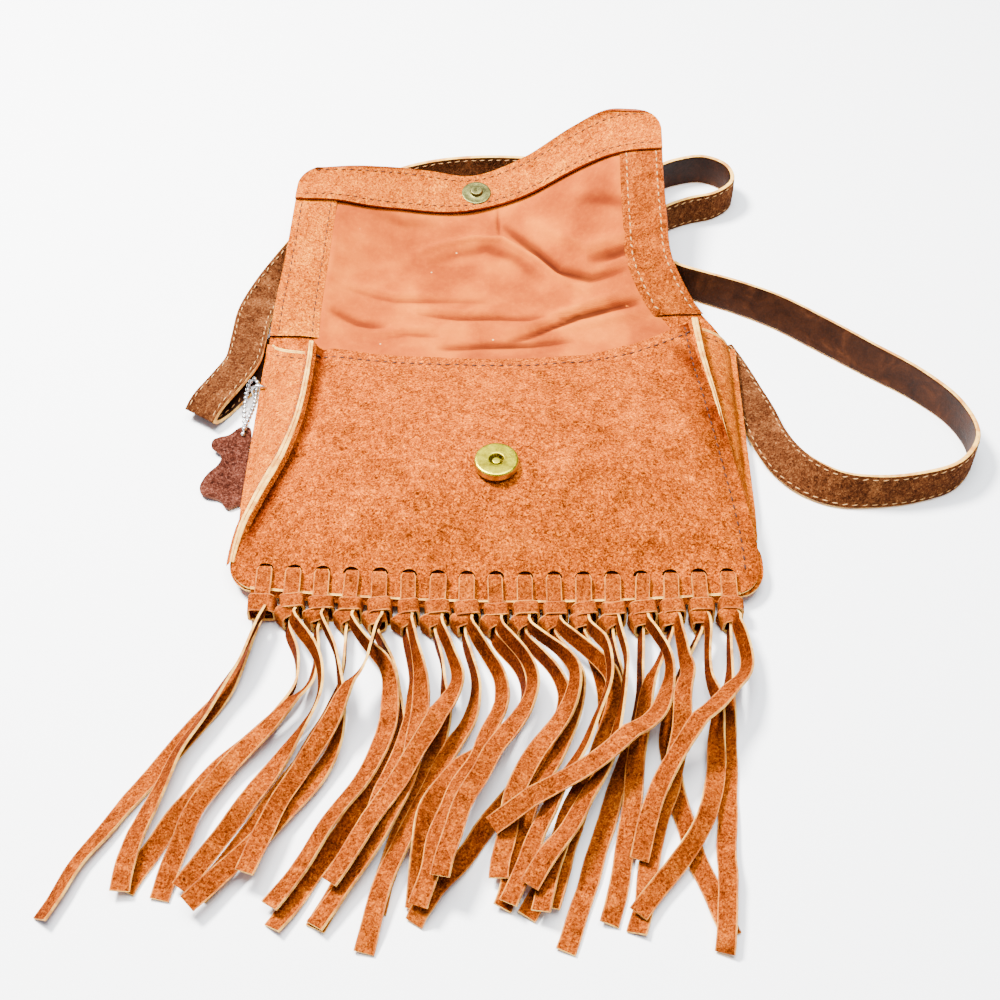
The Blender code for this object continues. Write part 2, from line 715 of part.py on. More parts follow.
# The strap's route: x, y, how far it is off the ground and its lean, 0 and 180 flat and 90 standing on edge
STRAP_ROUTE = (
    (-100, 70, 0.3, 0),
    (-106, 61, 0.3, 0),
    (-113, 50, 0.3, 0),
    (-120, 38, 0.3, 0),
    (-127, 27, 0.7, 0),
    (-131, 20.5, 3.9, 0),
    (-128, 25.5, 7.3, 0),
    (-122, 37, 7.8, 0),
    (-116, 51, 7.6, 0),
    (-115, 66, 6.4, 6),
    (-114.5, 84, 4.2, 12),
    (-110.5, 101, 2.0, 18),
    (-103.5, 118, 0.8, 30),
    (-94, 136, 0.5, 48),
    (-82, 155, 0.4, 68),
    (-67, 171, 0.4, 84),
    (-49, 184, 0.4, 90),
    (-30, 190.5, 0.4, 90),
    (-8, 193, 0.4, 90),
    (14, 192, 0.4, 90),
    (34, 187, 0.4, 90),
    (54, 182, 0.4, 90),
    (72, 184, 0.4, 90),
    (87, 192, 0.4, 90),
    (101, 195, 0.4, 90),
    (112, 188, 0.4, 90),
    (114, 176, 0.4, 90),
    (105, 166, 0.4, 90),
    (91, 161, 0.4, 90),
    (78, 153, 0.4, 90),
    (71, 140, 0.4, 90),
    (72, 124, 0.4, 88),
    (81, 112, 0.4, 84),
    (94, 105, 0.4, 78),
    (110, 98, 0.4, 74),
    (128, 88, 0.4, 70),
    (147, 73, 0.4, 70),
    (166, 57, 0.4, 74),
    (185, 41, 0.4, 80),
    (199, 23, 0.4, 86),
    (203, 4, 0.4, 90),
    (193, -12, 0.4, 94),
    (175, -19.5, 0.4, 98),
    (157, -22, 0.4, 102),
    (142, -20.5, 0.4, 112),
    (130, -13, 0.4, 128),
    (122, -2, 0.4, 146),
    (117, 12, 0.4, 164),
    (113.5, 28, 0.3, 174),
    (109, 43, 0.3, 180),
    (104, 57, 0.3, 180),
    (99, 69, 0.3, 180),
)
STRAP_SPACING = 15.0


def strap_stations():
    rows = smooth_path(STRAP_ROUTE, STRAP_SPACING)
    centres = []
    for x, y, off_ground, lean in rows:
        standing = abs(math.sin(math.radians(lean))) * STRAP_WIDTH / 2
        lying = abs(math.cos(math.radians(lean))) * STRAP_THICKNESS / 2
        centres.append(Vector((x, y, off_ground + standing + lying)))
    stations = []
    last_level = Vector((0, 0, 1)).cross(centres[1] - centres[0])
    for i, centre in enumerate(centres):
        ahead = (centres[min(i + 1, len(centres) - 1)] - centres[max(i - 1, 0)]).normalized()
        level = Vector((0, 0, 1)).cross(ahead)
        level = level.normalized() if level.length > 0.2 else last_level
        if level.dot(last_level) < 0:
            level = -level
        last_level = level
        up = ahead.cross(level)
        lean = math.radians(rows[i][3])
        wide = level * math.cos(lean) + up * math.sin(lean)
        thick = ahead.cross(wide)
        stations.append((centre, wide * STRAP_WIDTH / 2, thick * STRAP_THICKNESS / 2))
    return stations


def shoulder_strap(finish, group):
    return piece("shoulder_strap", bar(strap_stations()), finish, group)


TAG_OUTLINE = (
    (-112.6, 14), (-117, 9.5), (-123.5, 6.5), (-124, 3.5), (-119.5, 0), (-120.5, -6), (-124, -12),
    (-126, -19), (-124, -23), (-117, -25), (-113, -29.5), (-108, -27.5), (-101, -26), (-98, -17),
    (-99.5, -9), (-97.5, -4), (-103, -1), (-107.6, 1), (-107.4, 8), (-108.5, 14),
)
TAG_HOLE = (-110.8, 8.6)
TAG_SUEDE_THICKNESS = 1.2


def tag_height(y):
    return 0.3 + 2.9 * ease((y + 1) / 9)


def hide_tag(finish, group, tools):
    """A flat tag in the outline of a hide, its neck raised where the chain goes through."""
    bm = bmesh.new()
    outline = [bm.verts.new((x, y, 0)) for x, y in TAG_OUTLINE]
    bm.faces.new(outline)
    for y in (-20, -8, -1, 1.5, 4, 6.5, 8, 11):
        geometry = bm.verts[:] + bm.edges[:] + bm.faces[:]
        bmesh.ops.bisect_plane(bm, geom=geometry, plane_co=(0, y, 0), plane_no=(0, 1, 0))
    for vertex in bm.verts:
        vertex.co.z = tag_height(vertex.co.y)
    bmesh.ops.recalc_face_normals(bm, faces=bm.faces)
    if sum(face.normal.z for face in bm.faces) < 0:
        bmesh.ops.reverse_faces(bm, faces=bm.faces)
    made = piece("hide_tag", bm, finish, group, smooth=False)
    wall = made.modifiers.new("Thickness", "SOLIDIFY")
    wall.thickness = TAG_SUEDE_THICKNESS * MM
    wall.offset = 1
    hole = cutter("tag_hole", turned([(0, 0), (2.6, 0), (2.6, 9), (0, 9)], (*TAG_HOLE, -1), sides=14), tools)
    cut(made, hole)


CHAIN_RADIUS = 1.1
CHAIN_ROUTE = (
    (-108.6, 41.5, 5.0), (-108.3, 36, 4.9), (-108.2, 28, 5.2), (-109.2, 19, 6.2), (-110.4, 12.5, 6.6),
    (-110.8, 8.9, 5.4), (-110.8, 8.3, 3.4), (-110.9, 10, 1.5), (-111.4, 15, 1.6), (-112.2, 22, 2.9),
    (-112.6, 30, 4.3), (-112.4, 37, 4.9), (-111.6, 42, 5.0), (-110.2, 43.6, 5.0),
)


def ball_chain(finish, group):
    """The chain's outer shape as a closed tube through the ring and the tag's hole."""
    centres = [Vector(row) for row in smooth_path(CHAIN_ROUTE, 2.4, closed=True)]
    bm = bmesh.new()
    rings = []
    count = len(centres)
    side = Vector((1, 0, 0))
    for i, centre in enumerate(centres):
        ahead = (centres[(i + 1) % count] - centres[i - 1]).normalized()
        side = (side - ahead * side.dot(ahead)).normalized()
        other = ahead.cross(side)
        ring = []
        for corner in range(6):
            angle = math.tau * corner / 6
            outward = side * math.cos(angle) + other * math.sin(angle)
            ring.append(bm.verts.new(centre + outward * CHAIN_RADIUS))
        rings.append(ring)
    for first, second in zip(rings, rings[1:]):
        for i in range(6):
            bm.faces.new((first[i], first[(i + 1) % 6], second[(i + 1) % 6], second[i]))
    ends = []
    for ring in (rings[0], rings[-1]):
        edges = {edge for corner in ring for edge in corner.link_edges}
        ends += [edge for edge in edges if len(edge.link_faces) == 1]
    bmesh.ops.bridge_loops(bm, edges=ends)
    bmesh.ops.recalc_face_normals(bm, faces=bm.faces)
    piece("ball_chain", bm, finish, group)


RING_RADIUS = 3.5
RING_WIRE = 0.6
RING_HEIGHT = 4.9


def chain_ring(finish, group):
    """The small ring through the left seam's hole that holds the chain."""
    angles = [math.tau * i / 8 for i in range(8)]
    profile = [(RING_RADIUS + RING_WIRE * math.cos(a), RING_WIRE * math.sin(a)) for a in angles]
    centre = (RING_HOLE[0] - RING_RADIUS, RING_HOLE[1], RING_HEIGHT)
    piece("chain_ring", turned(profile, centre, Vector((0, 1, 0)), sides=20), finish, group)


def main():
    clear_scene()
    group = collection("Fringed suede bag")
    tools = collection("Cutters")
    suede = material("Orange suede", ORANGE_SUEDE, 0.9)
    light = material("Light suede", LIGHT_SUEDE, 0.9)
    cotton = material("Cotton lining", COTTON, 0.8)
    leather = material("Dark leather", DARK_LEATHER, 0.5)
    hide = material("Tag suede", TAG_SUEDE, 0.9)
    brass = material("Antique brass", BRASS, 0.35, 1.0)
    steel = material("Steel", STEEL, 0.3, 1.0)

    slots = slot_cutter(tools)
    ring_hole = cutter("ring_hole", ring_hole_cutter(), tools)
    front_piece = front_panel(suede, group)
    back_piece = back_panel_and_flap(suede, group)
    cut(front_piece, slots)
    cut(back_piece, slots)
    cut(gusset("left_gusset", -1, suede, group), ring_hole)
    gusset("right_gusset", 1, suede, group)
    flap_bands(light, group)
    lining(cotton, group)
    snap(brass, steel, group, tools)
    fringe(suede, group)
    shoulder_strap(leather, group)
    hide_tag(hide, group, tools)
    ball_chain(steel, group)
    chain_ring(steel, group)


main()
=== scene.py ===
"""Fringed suede shoulder bag, lying on its back with the flap thrown open: the finish of every piece.

The script is laid out as an add-on. Each operator makes one piece, or a group of like pieces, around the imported
frame. +Z is up, +Y runs from the fringe to the flap's end, and the origin is on the floor under the bag. Sizes
are in millimetres and MM turns them into metres where a mesh is made.
"""

import json
import math

import bmesh
import bpy
import numpy as np
from bpy.props import FloatProperty, FloatVectorProperty, PointerProperty
from mathutils import Matrix, Vector

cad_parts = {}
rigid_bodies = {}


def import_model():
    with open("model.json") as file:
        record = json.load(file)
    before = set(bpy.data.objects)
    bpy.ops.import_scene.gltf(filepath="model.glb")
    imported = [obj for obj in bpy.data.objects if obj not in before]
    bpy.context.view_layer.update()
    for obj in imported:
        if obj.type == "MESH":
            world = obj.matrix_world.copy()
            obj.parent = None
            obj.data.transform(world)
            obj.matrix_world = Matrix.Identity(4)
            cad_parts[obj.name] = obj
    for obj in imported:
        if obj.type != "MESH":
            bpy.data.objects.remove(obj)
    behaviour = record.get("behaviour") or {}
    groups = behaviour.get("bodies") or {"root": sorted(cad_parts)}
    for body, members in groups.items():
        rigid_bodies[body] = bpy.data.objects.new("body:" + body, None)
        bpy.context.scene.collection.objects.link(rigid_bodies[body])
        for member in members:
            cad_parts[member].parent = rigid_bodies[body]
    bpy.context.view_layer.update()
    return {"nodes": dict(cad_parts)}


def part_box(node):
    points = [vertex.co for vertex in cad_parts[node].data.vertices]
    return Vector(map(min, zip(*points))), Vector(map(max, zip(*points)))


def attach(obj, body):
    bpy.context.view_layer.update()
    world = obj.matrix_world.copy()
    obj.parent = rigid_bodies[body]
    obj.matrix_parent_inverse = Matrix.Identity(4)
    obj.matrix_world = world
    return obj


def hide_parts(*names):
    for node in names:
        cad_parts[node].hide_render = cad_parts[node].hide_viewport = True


bl_info = {
    "name": "Fringed suede bag",
    "version": (1, 0, 0),
    "blender": (4, 5, 0),
    "location": "View3D > Sidebar > Bag",
    "description": "Makes a fringed suede shoulder bag, piece by piece, with its materials, floor, light and camera",
    "category": "Add Mesh",
}

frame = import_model()
MM = 0.001

# ---- the bag's form, in millimetres

SUEDE = 1.3
GUSSET_SUEDE = 1.2
FRONT_WIDTH = 190.0
FRONT_LENGTH = 124.0
BAND = 1.2
LINING = 0.5
LAYER_GAP = 0.6
HALF_WIDTH = 106.5
CORNER_RADIUS = 13.0
BOTTOM_Y = -76.0
BOTTOM_BOW = 5.0
FLANGE = 4.0
LEFT_FLANGE_RISE = 3.0
RIGHT_FLANGE_RISE = 1.5
GUSSET_END_Y = -44.5
SIDE_LIFT = 3.4
FLAP_RISE_Y = 60.0
FLAP_CORNER_RADIUS = 12.0
END_BAND_LIFT = 1.3
BAND_START = 0.915
LEFT_BAND_S = 0.111
RIGHT_BAND_S = 0.889
STRIP_COUNT = 17
STRIP_PITCH = 11.46
STRIP_WIDTH = 7.0
STRIP_THICKNESS = 1.2
SLOT_ABOVE_EDGE = 11.0
SLOT_HALF_WIDTH = 3.3
SLOT_RISE = 2.5
KNOT_BELOW_EDGE = 6.4
STRAP_WIDTH = 16.0
STRAP_THICKNESS = 2.4
SOCKET_CENTRE = (-0.5, -27.0)
STUD_PLACE = (0.49, 0.957)


def lerp(low, high, share):
    return low + (high - low) * share


def ease(share):
    share = np.clip(share, 0.0, 1.0)
    return share * share * (3 - 2 * share)


def hermite(places, values, where):
    """A smooth curve through values at places. values may hold one column for each point of where."""
    places = np.asarray(places, float)
    values = np.asarray(values, float)
    slopes = np.gradient(values, places, axis=0)
    where = np.clip(where, places[0], places[-1])
    i = np.clip(np.searchsorted(places, where, side="right") - 1, 0, len(places) - 2)
    span = places[i + 1] - places[i]
    u = (where - places[i]) / span
    if values.ndim == 2:
        own = np.arange(values.shape[1])
        v0, v1, m0, m1 = values[i, own], values[i + 1, own], slopes[i, own], slopes[i + 1, own]
    else:
        v0, v1, m0, m1 = values[i], values[i + 1], slopes[i], slopes[i + 1]
    ends = v0 * (2 * u**3 - 3 * u**2 + 1) + v1 * (3 * u**2 - 2 * u**3)
    return ends + span * (m0 * (u**3 - 2 * u**2 + u) + m1 * (u**3 - u**2))


def track(*keys):
    """A smooth curve through (place, value) keys, as a function."""
    places, values = zip(*keys)
    return lambda where: hermite(places, values, where)


def rounded(x, into, radius):
    """The outline's distance from the middle where a corner of this radius has been entered by this much."""
    into = np.clip(into, 0.0, radius)
    return x - radius + np.sqrt(radius**2 - into**2)


LEFT_SEAM = track((-80, 106.5), (-58, 105), (-36, 98), (-15, 90), (2, 86), (30, 84), (57, 84.5))
RIGHT_SEAM = track((-80, 105.5), (-54, 104), (-13, 98), (18, 93), (45, 89), (70, 87))
LEFT_HEIGHT = track((-80, 7), (-66, 9), (-56, 11), (-36, 14), (2, 18), (57, 15))
RIGHT_HEIGHT = track((-80, 7), (-66, 9), (-54, 11), (-13, 16), (18, 20), (70, 20))
MIDDLE_HEIGHT = track((-82, 7), (-70, 11), (-52, 20), (-27, 28), (0, 26.5), (25, 21.5), (50, 15))
MOUTH = track((0, 55.5), (0.2, 50), (0.48, 48), (0.75, 53), (1, 70))
FLAP_LEFT = track((-80, 106.5), (0, 106.5), (40, 106.5), (60, 106.4), (84, 105), (110, 103), (140, 101), (170, 99))
FLAP_RIGHT = track(
    (-80, 106.5), (0, 106.5), (40, 106.5), (58, 106), (72, 101), (88, 88), (105, 80), (130, 77.5), (195, 76)
)
FLAP_END = track((0, 167), (0.15, 172), (0.3, 176.5), (0.45, 178), (0.6, 185), (0.75, 191), (0.9, 192), (1, 187))
# The flap's height at places across it, at shares of the way from its fold to its end
FLAP_PLACES = (0, 0.08, 0.2, 0.35, 0.5, 0.65, 0.8, 0.92, 1)
FLAP_HEIGHTS = (
    (0.0, (3.4, 2, 0, 0, 0, 0, 1, 3, 4)),
    (0.15, (7.5, 5, 0.5, 0, 0, 0, 1.5, 6, 9)),
    (0.28, (10.5, 8, 1.5, 0.3, 0, 0.5, 5, 14, 18)),
    (0.45, (13, 11, 4, 1, 0.5, 2, 11, 20.5, 25)),
    (0.7, (19, 17, 11, 5, 3.5, 8, 22, 32, 36)),
    (1.0, (27, 26, 22.5, 16.5, 12.5, 19, 34, 45, 48)),
)


def bottom_y(s):
    """The bow of the bottom edge."""
    return BOTTOM_Y - BOTTOM_BOW * (1 - (2 * s - 1) ** 2)


def front_sides(y):
    """How far the front's left and right edges lie from the middle at y."""
    into = BOTTOM_Y + CORNER_RADIUS - y
    return -rounded(LEFT_SEAM(y), into, CORNER_RADIUS), rounded(RIGHT_SEAM(y), into, CORNER_RADIUS)


def front_height(x, y):
    """The height of the front panel's outer face."""
    left, right = -LEFT_SEAM(y), RIGHT_SEAM(y)
    s = np.clip((x - left) / (right - left), 0.0, 1.0)
    edge = lerp(LEFT_HEIGHT(y), RIGHT_HEIGHT(y), s)
    crown = 1 - np.abs(2 * s - 1) ** 2.3
    standing = ease((y + 60) / 16)
    flange = LEFT_FLANGE_RISE * np.maximum(0.0, 1 - (x - left) / FLANGE)
    flange = flange + RIGHT_FLANGE_RISE * np.maximum(0.0, 1 - (right - x) / FLANGE)
    return edge + (MIDDLE_HEIGHT(y) - edge) * crown + flange * standing


def front(s, t):
    """The outer face of the front panel. s runs across it and t from the bottom edge to the mouth."""
    y = lerp(bottom_y(s), MOUTH(s), t)
    left = front_sides(lerp(bottom_y(0.0), MOUTH(0.0), t))[0]
    right = front_sides(lerp(bottom_y(1.0), MOUTH(1.0), t))[1]
    x = lerp(left, right, s)
    return x, y, front_height(x, y)


def flap_height(s, share):
    """The height of the flap's outer face, share of the way from its fold to its end."""
    places = [place for place, heights in FLAP_HEIGHTS]
    values = np.stack([hermite(FLAP_PLACES, heights, s) for place, heights in FLAP_HEIGHTS])
    return hermite(places, values, share)


def back_height(x, y):
    """The height of the back panel's outer face below the flap."""
    lift = SIDE_LIFT * ease((np.abs(x) - 80) / 13) * ease((y + 50) / 22)
    under_front = front_height(x, y) - 2 * SUEDE - 0.55
    return lift + under_front * ease((-46 - y) / 15)


def back(s, t):
    """The outer face of the back panel and flap, one sheet. t is 0 at the bottom edge and 1 at the flap's end."""
    s, t = np.broadcast_arrays(np.asarray(s, float), np.asarray(t, float))
    shape = s.shape
    s, t = s.ravel(), t.ravel()
    end_y = FLAP_END(s)
    y = lerp(bottom_y(s), end_y, t)
    sides = []
    for edge, end in ((FLAP_LEFT, 0.0), (FLAP_RIGHT, 1.0)):
        edge_y = lerp(bottom_y(end), FLAP_END(end), t)
        side = rounded(edge(edge_y), BOTTOM_Y + CORNER_RADIUS - edge_y, CORNER_RADIUS)
        sides.append(rounded(side, edge_y - FLAP_END(end) + FLAP_CORNER_RADIUS, FLAP_CORNER_RADIUS))
    x = lerp(-sides[0], sides[1], s)
    share = (y - FLAP_RISE_Y) / (end_y - FLAP_RISE_Y)
    rising = ease((y - FLAP_RISE_Y) / 18)
    z = lerp(back_height(x, y), np.maximum(flap_height(s, share), 0.0), rising)
    return x.reshape(shape), y.reshape(shape), z.reshape(shape)


# ---- noise


def waves(points, size, seed, octaves=3):
    """A smooth, repeatable unevenness from -1 to 1 over points, whose humps are about this size apart."""
    rng = np.random.default_rng(seed)
    total = np.zeros(len(points))
    strength = 1.0
    for _ in range(octaves):
        for _ in range(4):
            turn = rng.normal(size=points.shape[1])
            turn *= math.tau / (size * np.linalg.norm(turn)) * rng.uniform(0.7, 1.3)
            total += strength * np.sin(points @ turn + rng.uniform(0, math.tau))
        size *= 0.5
        strength *= 0.5
    return total / 5.0


# ---- meshes


def put_points(mesh, points):
    """Moves a mesh's vertices to points in millimetres."""
    mesh.vertices.foreach_set("co", (np.asarray(points) * MM).astype(np.float32).ravel())
    mesh.update()


def points_of(mesh):
    """A mesh's vertices as they are stored."""
    flat = np.empty(len(mesh.vertices) * 3)
    mesh.vertices.foreach_get("co", flat)
    return flat.reshape(-1, 3)


def mesh_of(bm, name, in_mm=False):
    """The mesh of a bmesh, which is freed. One drawn in millimetres is scaled to metres."""
    if in_mm:
        bmesh.ops.scale(bm, vec=(MM, MM, MM), verts=bm.verts)
    mesh = bpy.data.meshes.new(name)
    bm.to_mesh(mesh)
    bm.free()
    return mesh


def grid_mesh(name, surface, columns, rows, size):
    """A grid laid on surface(s, t), which takes and gives arrays. Its UV map is (s, t) times size."""
    bm = bmesh.new()
    bm.loops.layers.uv.new("UVMap")
    bmesh.ops.create_grid(bm, x_segments=columns, y_segments=rows, size=0.5, calc_uvs=True)
    mesh = mesh_of(bm, name)
    flat = points_of(mesh) + 0.5
    put_points(mesh, np.stack(surface(*flat[:, :2].T), axis=1))
    corners = np.empty(len(mesh.loops), int)
    mesh.loops.foreach_get("vertex_index", corners)
    uv = flat[corners, :2] * size
    mesh.uv_layers[0].data.foreach_set("uv", uv.astype(np.float32).ravel())
    return mesh


def new_object(name, mesh, *finishes):
    made = bpy.data.objects.new(name, mesh)
    bpy.context.scene.collection.objects.link(made)
    for finish in finishes:
        made.data.materials.append(finish)
    return made


def attribute(made, name, values):
    """A value for each vertex, which a finish reads by name."""
    made.data.attributes.new(name, "FLOAT", "POINT").data.foreach_set("value", np.asarray(values, np.float32))
    return made


def thicken(made, thickness, offset, rim=1):
    """Gives an open sheet its thickness. The cut edge round it takes the material at index rim."""
    wall = made.modifiers.new("Thickness", "SOLIDIFY")
    wall.thickness = thickness * MM
    wall.offset = offset
    wall.use_even_offset = True
    wall.material_offset_rim = rim
    return made


def discard(made):
    """Removes an object and its mesh."""
    mesh = made.data
    bpy.data.objects.remove(made)
    bpy.data.meshes.remove(mesh)


def baked(made):
    """Applies the modifiers of an object to its mesh."""
    graph = bpy.context.evaluated_depsgraph_get()
    mesh = bpy.data.meshes.new_from_object(made.evaluated_get(graph))
    old = made.data
    made.modifiers.clear()
    made.data = mesh
    bpy.data.meshes.remove(old)
    return made


def joined(name, parts):
    """Joins objects that have the same materials into one, merged where they meet."""
    bm = bmesh.new()
    for part in parts:
        if "handled" not in part.data.attributes:
            attribute(part, "handled", np.zeros(len(part.data.vertices)))
        bm.from_mesh(part.data)
    bmesh.ops.remove_doubles(bm, verts=bm.verts, dist=0.00001)
    mesh = mesh_of(bm, name)
    kept = list(parts[0].data.materials)
    for part in parts:
        discard(part)
    return new_object(name, mesh, *kept)


def shade(made, degrees):
    made.data.shade_smooth()
    made.data.set_sharp_from_angle(angle=math.radians(degrees))
    return made


def part_of_bag(made, slot, *nodes):
    """Puts a piece on the bag's one body and hides the CAD nodes that it replaces. slot is not used."""
    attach(made, "root")
    if nodes:
        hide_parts(*nodes)
    return made


def line_lengths(points):
    """How far along the line each of its points lies."""
    steps = np.linalg.norm(np.diff(points, axis=0), axis=1)
    return np.concatenate([[0.0], np.cumsum(steps)])


def unit(rows):
    """Rows of numbers, each scaled to a length of 1."""
    return rows / np.linalg.norm(rows, axis=1)[:, None]


def resampled(points, spacing):
    """Points at even spacing along a line. points may have more columns than the first three."""
    along = line_lengths(points[:, :3])
    count = max(2, int(round(along[-1] / spacing)) + 1)
    even = np.linspace(0, along[-1], count)
    return np.stack([np.interp(even, along, points[:, i]) for i in range(points.shape[1])], axis=1)


def smooth_path(rows, spacing, closed=False):
    """A smooth curve through rows of numbers, read at an even spacing of its first three."""
    rows = np.array(rows, float)
    if closed:
        rows = np.vstack([rows[-2:], rows, rows[:3]])
    chords = np.concatenate([[0.0], np.cumsum(np.linalg.norm(np.diff(rows[:, :3], axis=0), axis=1) ** 0.5)])
    dense = np.linspace(chords[0], chords[-1], 60 * len(rows))
    curve = np.stack([hermite(chords, rows[:, i], dense) for i in range(rows.shape[1])], axis=1)
    if closed:
        curve = curve[(dense >= chords[2]) & (dense <= chords[-3])]
    return resampled(curve, spacing)


def ribbon_mesh(name, centres, across, columns, crown=0.0, normals=None):
    """An open ribbon along centres. across goes from its middle to its right edge at each centre."""
    rows = len(centres) - 1

    def surface(s, t):
        index = np.round(t * rows).astype(int)
        side = 2 * s - 1
        points = centres[index] + across[index] * side[:, None]
        if normals is not None:
            points = points + normals[index] * (crown * (1 - side**2))[:, None]
        return points.T

    length = line_lengths(centres)[-1]
    width = 2 * np.linalg.norm(across[0])
    return grid_mesh(name, surface, columns, rows, (width, length))


# ---- stitches


STITCH_SLANT = 0.12


def stitch_row(points, normals, pitch, length, width, sink, seed):
    """Thread stitches along a line that lies on a surface: a list of (centre, along, across, up)."""
    rng = np.random.default_rng(seed)
    path = resampled(np.hstack([points, normals]), pitch)
    rows = []
    for i in range(len(path) - 1):
        centre = (path[i, :3] + path[i + 1, :3]) / 2
        up = path[i, 3:6] / np.linalg.norm(path[i, 3:6])
        along = path[i + 1, :3] - path[i, :3]
        along /= np.linalg.norm(along)
        beside = np.cross(up, along)
        turn = STITCH_SLANT + rng.normal(0, 0.1)
        along = along * math.cos(turn) + beside * math.sin(turn)
        beside = np.cross(up, along)
        lift = width * (0.5 - sink)
        rows.append((centre + up * lift, along * length / 2, beside * width / 2, up * width * 0.42))
    return rows


def stitches(name, rows, thread):
    """One object of thread stitches, each a long bead with pointed ends that dive into the hide."""
    bm = bmesh.new()
    bmesh.ops.create_uvsphere(bm, u_segments=6, v_segments=5, radius=1.0)
    bmesh.ops.rotate(bm, cent=(0, 0, 0), matrix=Matrix(((0, 0, 1), (0, 1, 0), (-1, 0, 0))), verts=bm.verts)
    bead = mesh_of(bm, "bead")
    shape = points_of(bead)
    bend = shape[:, 0] ** 2 * 0.9
    whole = bmesh.new()
    for _ in rows:
        whole.from_mesh(bead)
    mesh = mesh_of(whole, name)
    bpy.data.meshes.remove(bead)
    places = []
    for centre, along, beside, up in rows:
        places.append(centre + np.outer(shape[:, 0], along) + np.outer(shape[:, 1], beside)
                      + np.outer(shape[:, 2] - bend, up))
    put_points(mesh, np.vstack(places))
    return shade(new_object(name, mesh, *finishes(thread)), 180)


# ---- materials


class Finish:
    """One node material: a Principled shader whose sockets are set, or fed by nodes."""

    def __init__(self, name, roughness, metallic=0.0, specular=0.5):
        self.material = bpy.data.materials.new(name)
        self.material.use_nodes = True
        self.tree = self.material.node_tree
        self.shader = self.tree.nodes["Principled BSDF"]
        self.shader.inputs["Roughness"].default_value = roughness
        self.shader.inputs["Metallic"].default_value = metallic
        self.shader.inputs["Specular IOR Level"].default_value = specular
        self.place = self.node("ShaderNodeTexCoord").outputs["Object"]

    def node(self, kind, links=(), **settings):
        made = self.tree.nodes.new(kind)
        for key, value in settings.items():
            if key in made.inputs:
                made.inputs[key].default_value = value
            else:
                setattr(made, key, value)
        for key, source in dict(links).items():
            self.tree.links.new(source, made.inputs[key])
        return made

    def feed(self, socket, source):
        self.tree.links.new(source, self.shader.inputs[socket])

    def noise(self, size, detail=3.0, rough=0.6, distortion=0.0, place=None):
        """Noise whose grains are about size millimetres across."""
        settings = {"Scale": 1 / (size * MM), "Detail": detail, "Roughness": rough, "Distortion": distortion}
        return self.node("ShaderNodeTexNoise", {"Vector": place or self.place}, **settings).outputs["Fac"]

    def ramp(self, source, *stops):
        node = self.node("ShaderNodeValToRGB", {"Fac": source})
        ramp = node.color_ramp
        while len(ramp.elements) < len(stops):
            ramp.elements.new(0.5)
        for element, (position, colour) in zip(ramp.elements, stops):
            element.position = position
            element.color = (*colour, 1.0)
        return node.outputs["Color"]

    def fill(self, node, place, value):
        """Links an input to a socket, or sets it to a number or a colour."""
        if isinstance(value, bpy.types.NodeSocket):
            self.tree.links.new(value, node.inputs[place])
        else:
            node.inputs[place].default_value = (*value, 1.0) if isinstance(value, tuple) else value

    def mix(self, first, second, share, kind="MIX"):
        node = self.node("ShaderNodeMix", data_type="RGBA", blend_type=kind)
        for place, value in ((6, first), (7, second), (0, share)):
            self.fill(node, place, value)
        return node.outputs[2]

    def roughness(self, source, low, high):
        spread = self.node("ShaderNodeMapRange", {"Value": source}, **{"To Min": low, "To Max": high})
        self.feed("Roughness", spread.outputs["Result"])

    def bump(self, *layers):
        """Bumps of (source, height in millimetres), one on another."""
        normal = None
        for source, height in layers:
            links = {"Height": source}
            if normal:
                links["Normal"] = normal
            normal = self.node("ShaderNodeBump", links, Distance=height * MM, Strength=1.0).outputs["Normal"]
        self.feed("Normal", normal)


def suede_finish(name, base, dark, light, nap=1.0, patch=16.0, speckle=0.5, sheen=0.0):
    """Napped hide: broad patches where the nap lies two ways, and a fine speckle of fibre tips."""
    finish = Finish(name, 0.95, specular=0.02)
    patches = finish.noise(patch, 4.0, 0.62, 0.6)
    clumps = finish.noise(4.5, 3.0, 0.6, 1.0)
    fibres = finish.noise(1.5, 3.0, 0.65, 1.6)
    tips = finish.noise(0.8, 2.0, 0.6, 0.8)
    ground = finish.ramp(patches, (0.34, dark), (0.46, base), (0.55, base), (0.65, light))
    clumped = finish.ramp(clumps, (0.36, dark), (0.5, base), (0.66, light))
    colour = finish.mix(ground, clumped, 0.42)
    hairs = finish.ramp(fibres, (0.38, dark), (0.5, base), (0.6, light))
    colour = finish.mix(colour, hairs, speckle)
    sparks = finish.ramp(tips, (0.38, (0.3, 0.22, 0.2)), (0.47, (1, 1, 1)), (0.55, (1, 1, 1)),
                         (0.64, (1.7, 2.2, 2.6)))
    colour = finish.mix(colour, sparks, 0.8, "MULTIPLY")
    # Painted shade and tone: an attribute darkens the colour, as painted shade in the front's valley and on fringe
    # faces standing on edge, and as darker patches elsewhere on the front
    handled = finish.node("ShaderNodeAttribute", attribute_name="handled").outputs["Fac"]
    colour = finish.mix(colour, finish.mix(colour, (0.3, 0.2, 0.2), 1.0, "MULTIPLY"), handled)
    finish.feed("Base Color", colour)
    finish.bump((clumps, 0.5 * nap), (fibres, 0.4 * nap), (tips, 0.2 * nap))
    finish.shader.inputs["Sheen Weight"].default_value = sheen
    finish.shader.inputs["Sheen Roughness"].default_value = 0.5
    finish.shader.inputs["Sheen Tint"].default_value = (*light, 1.0)
    return finish.material


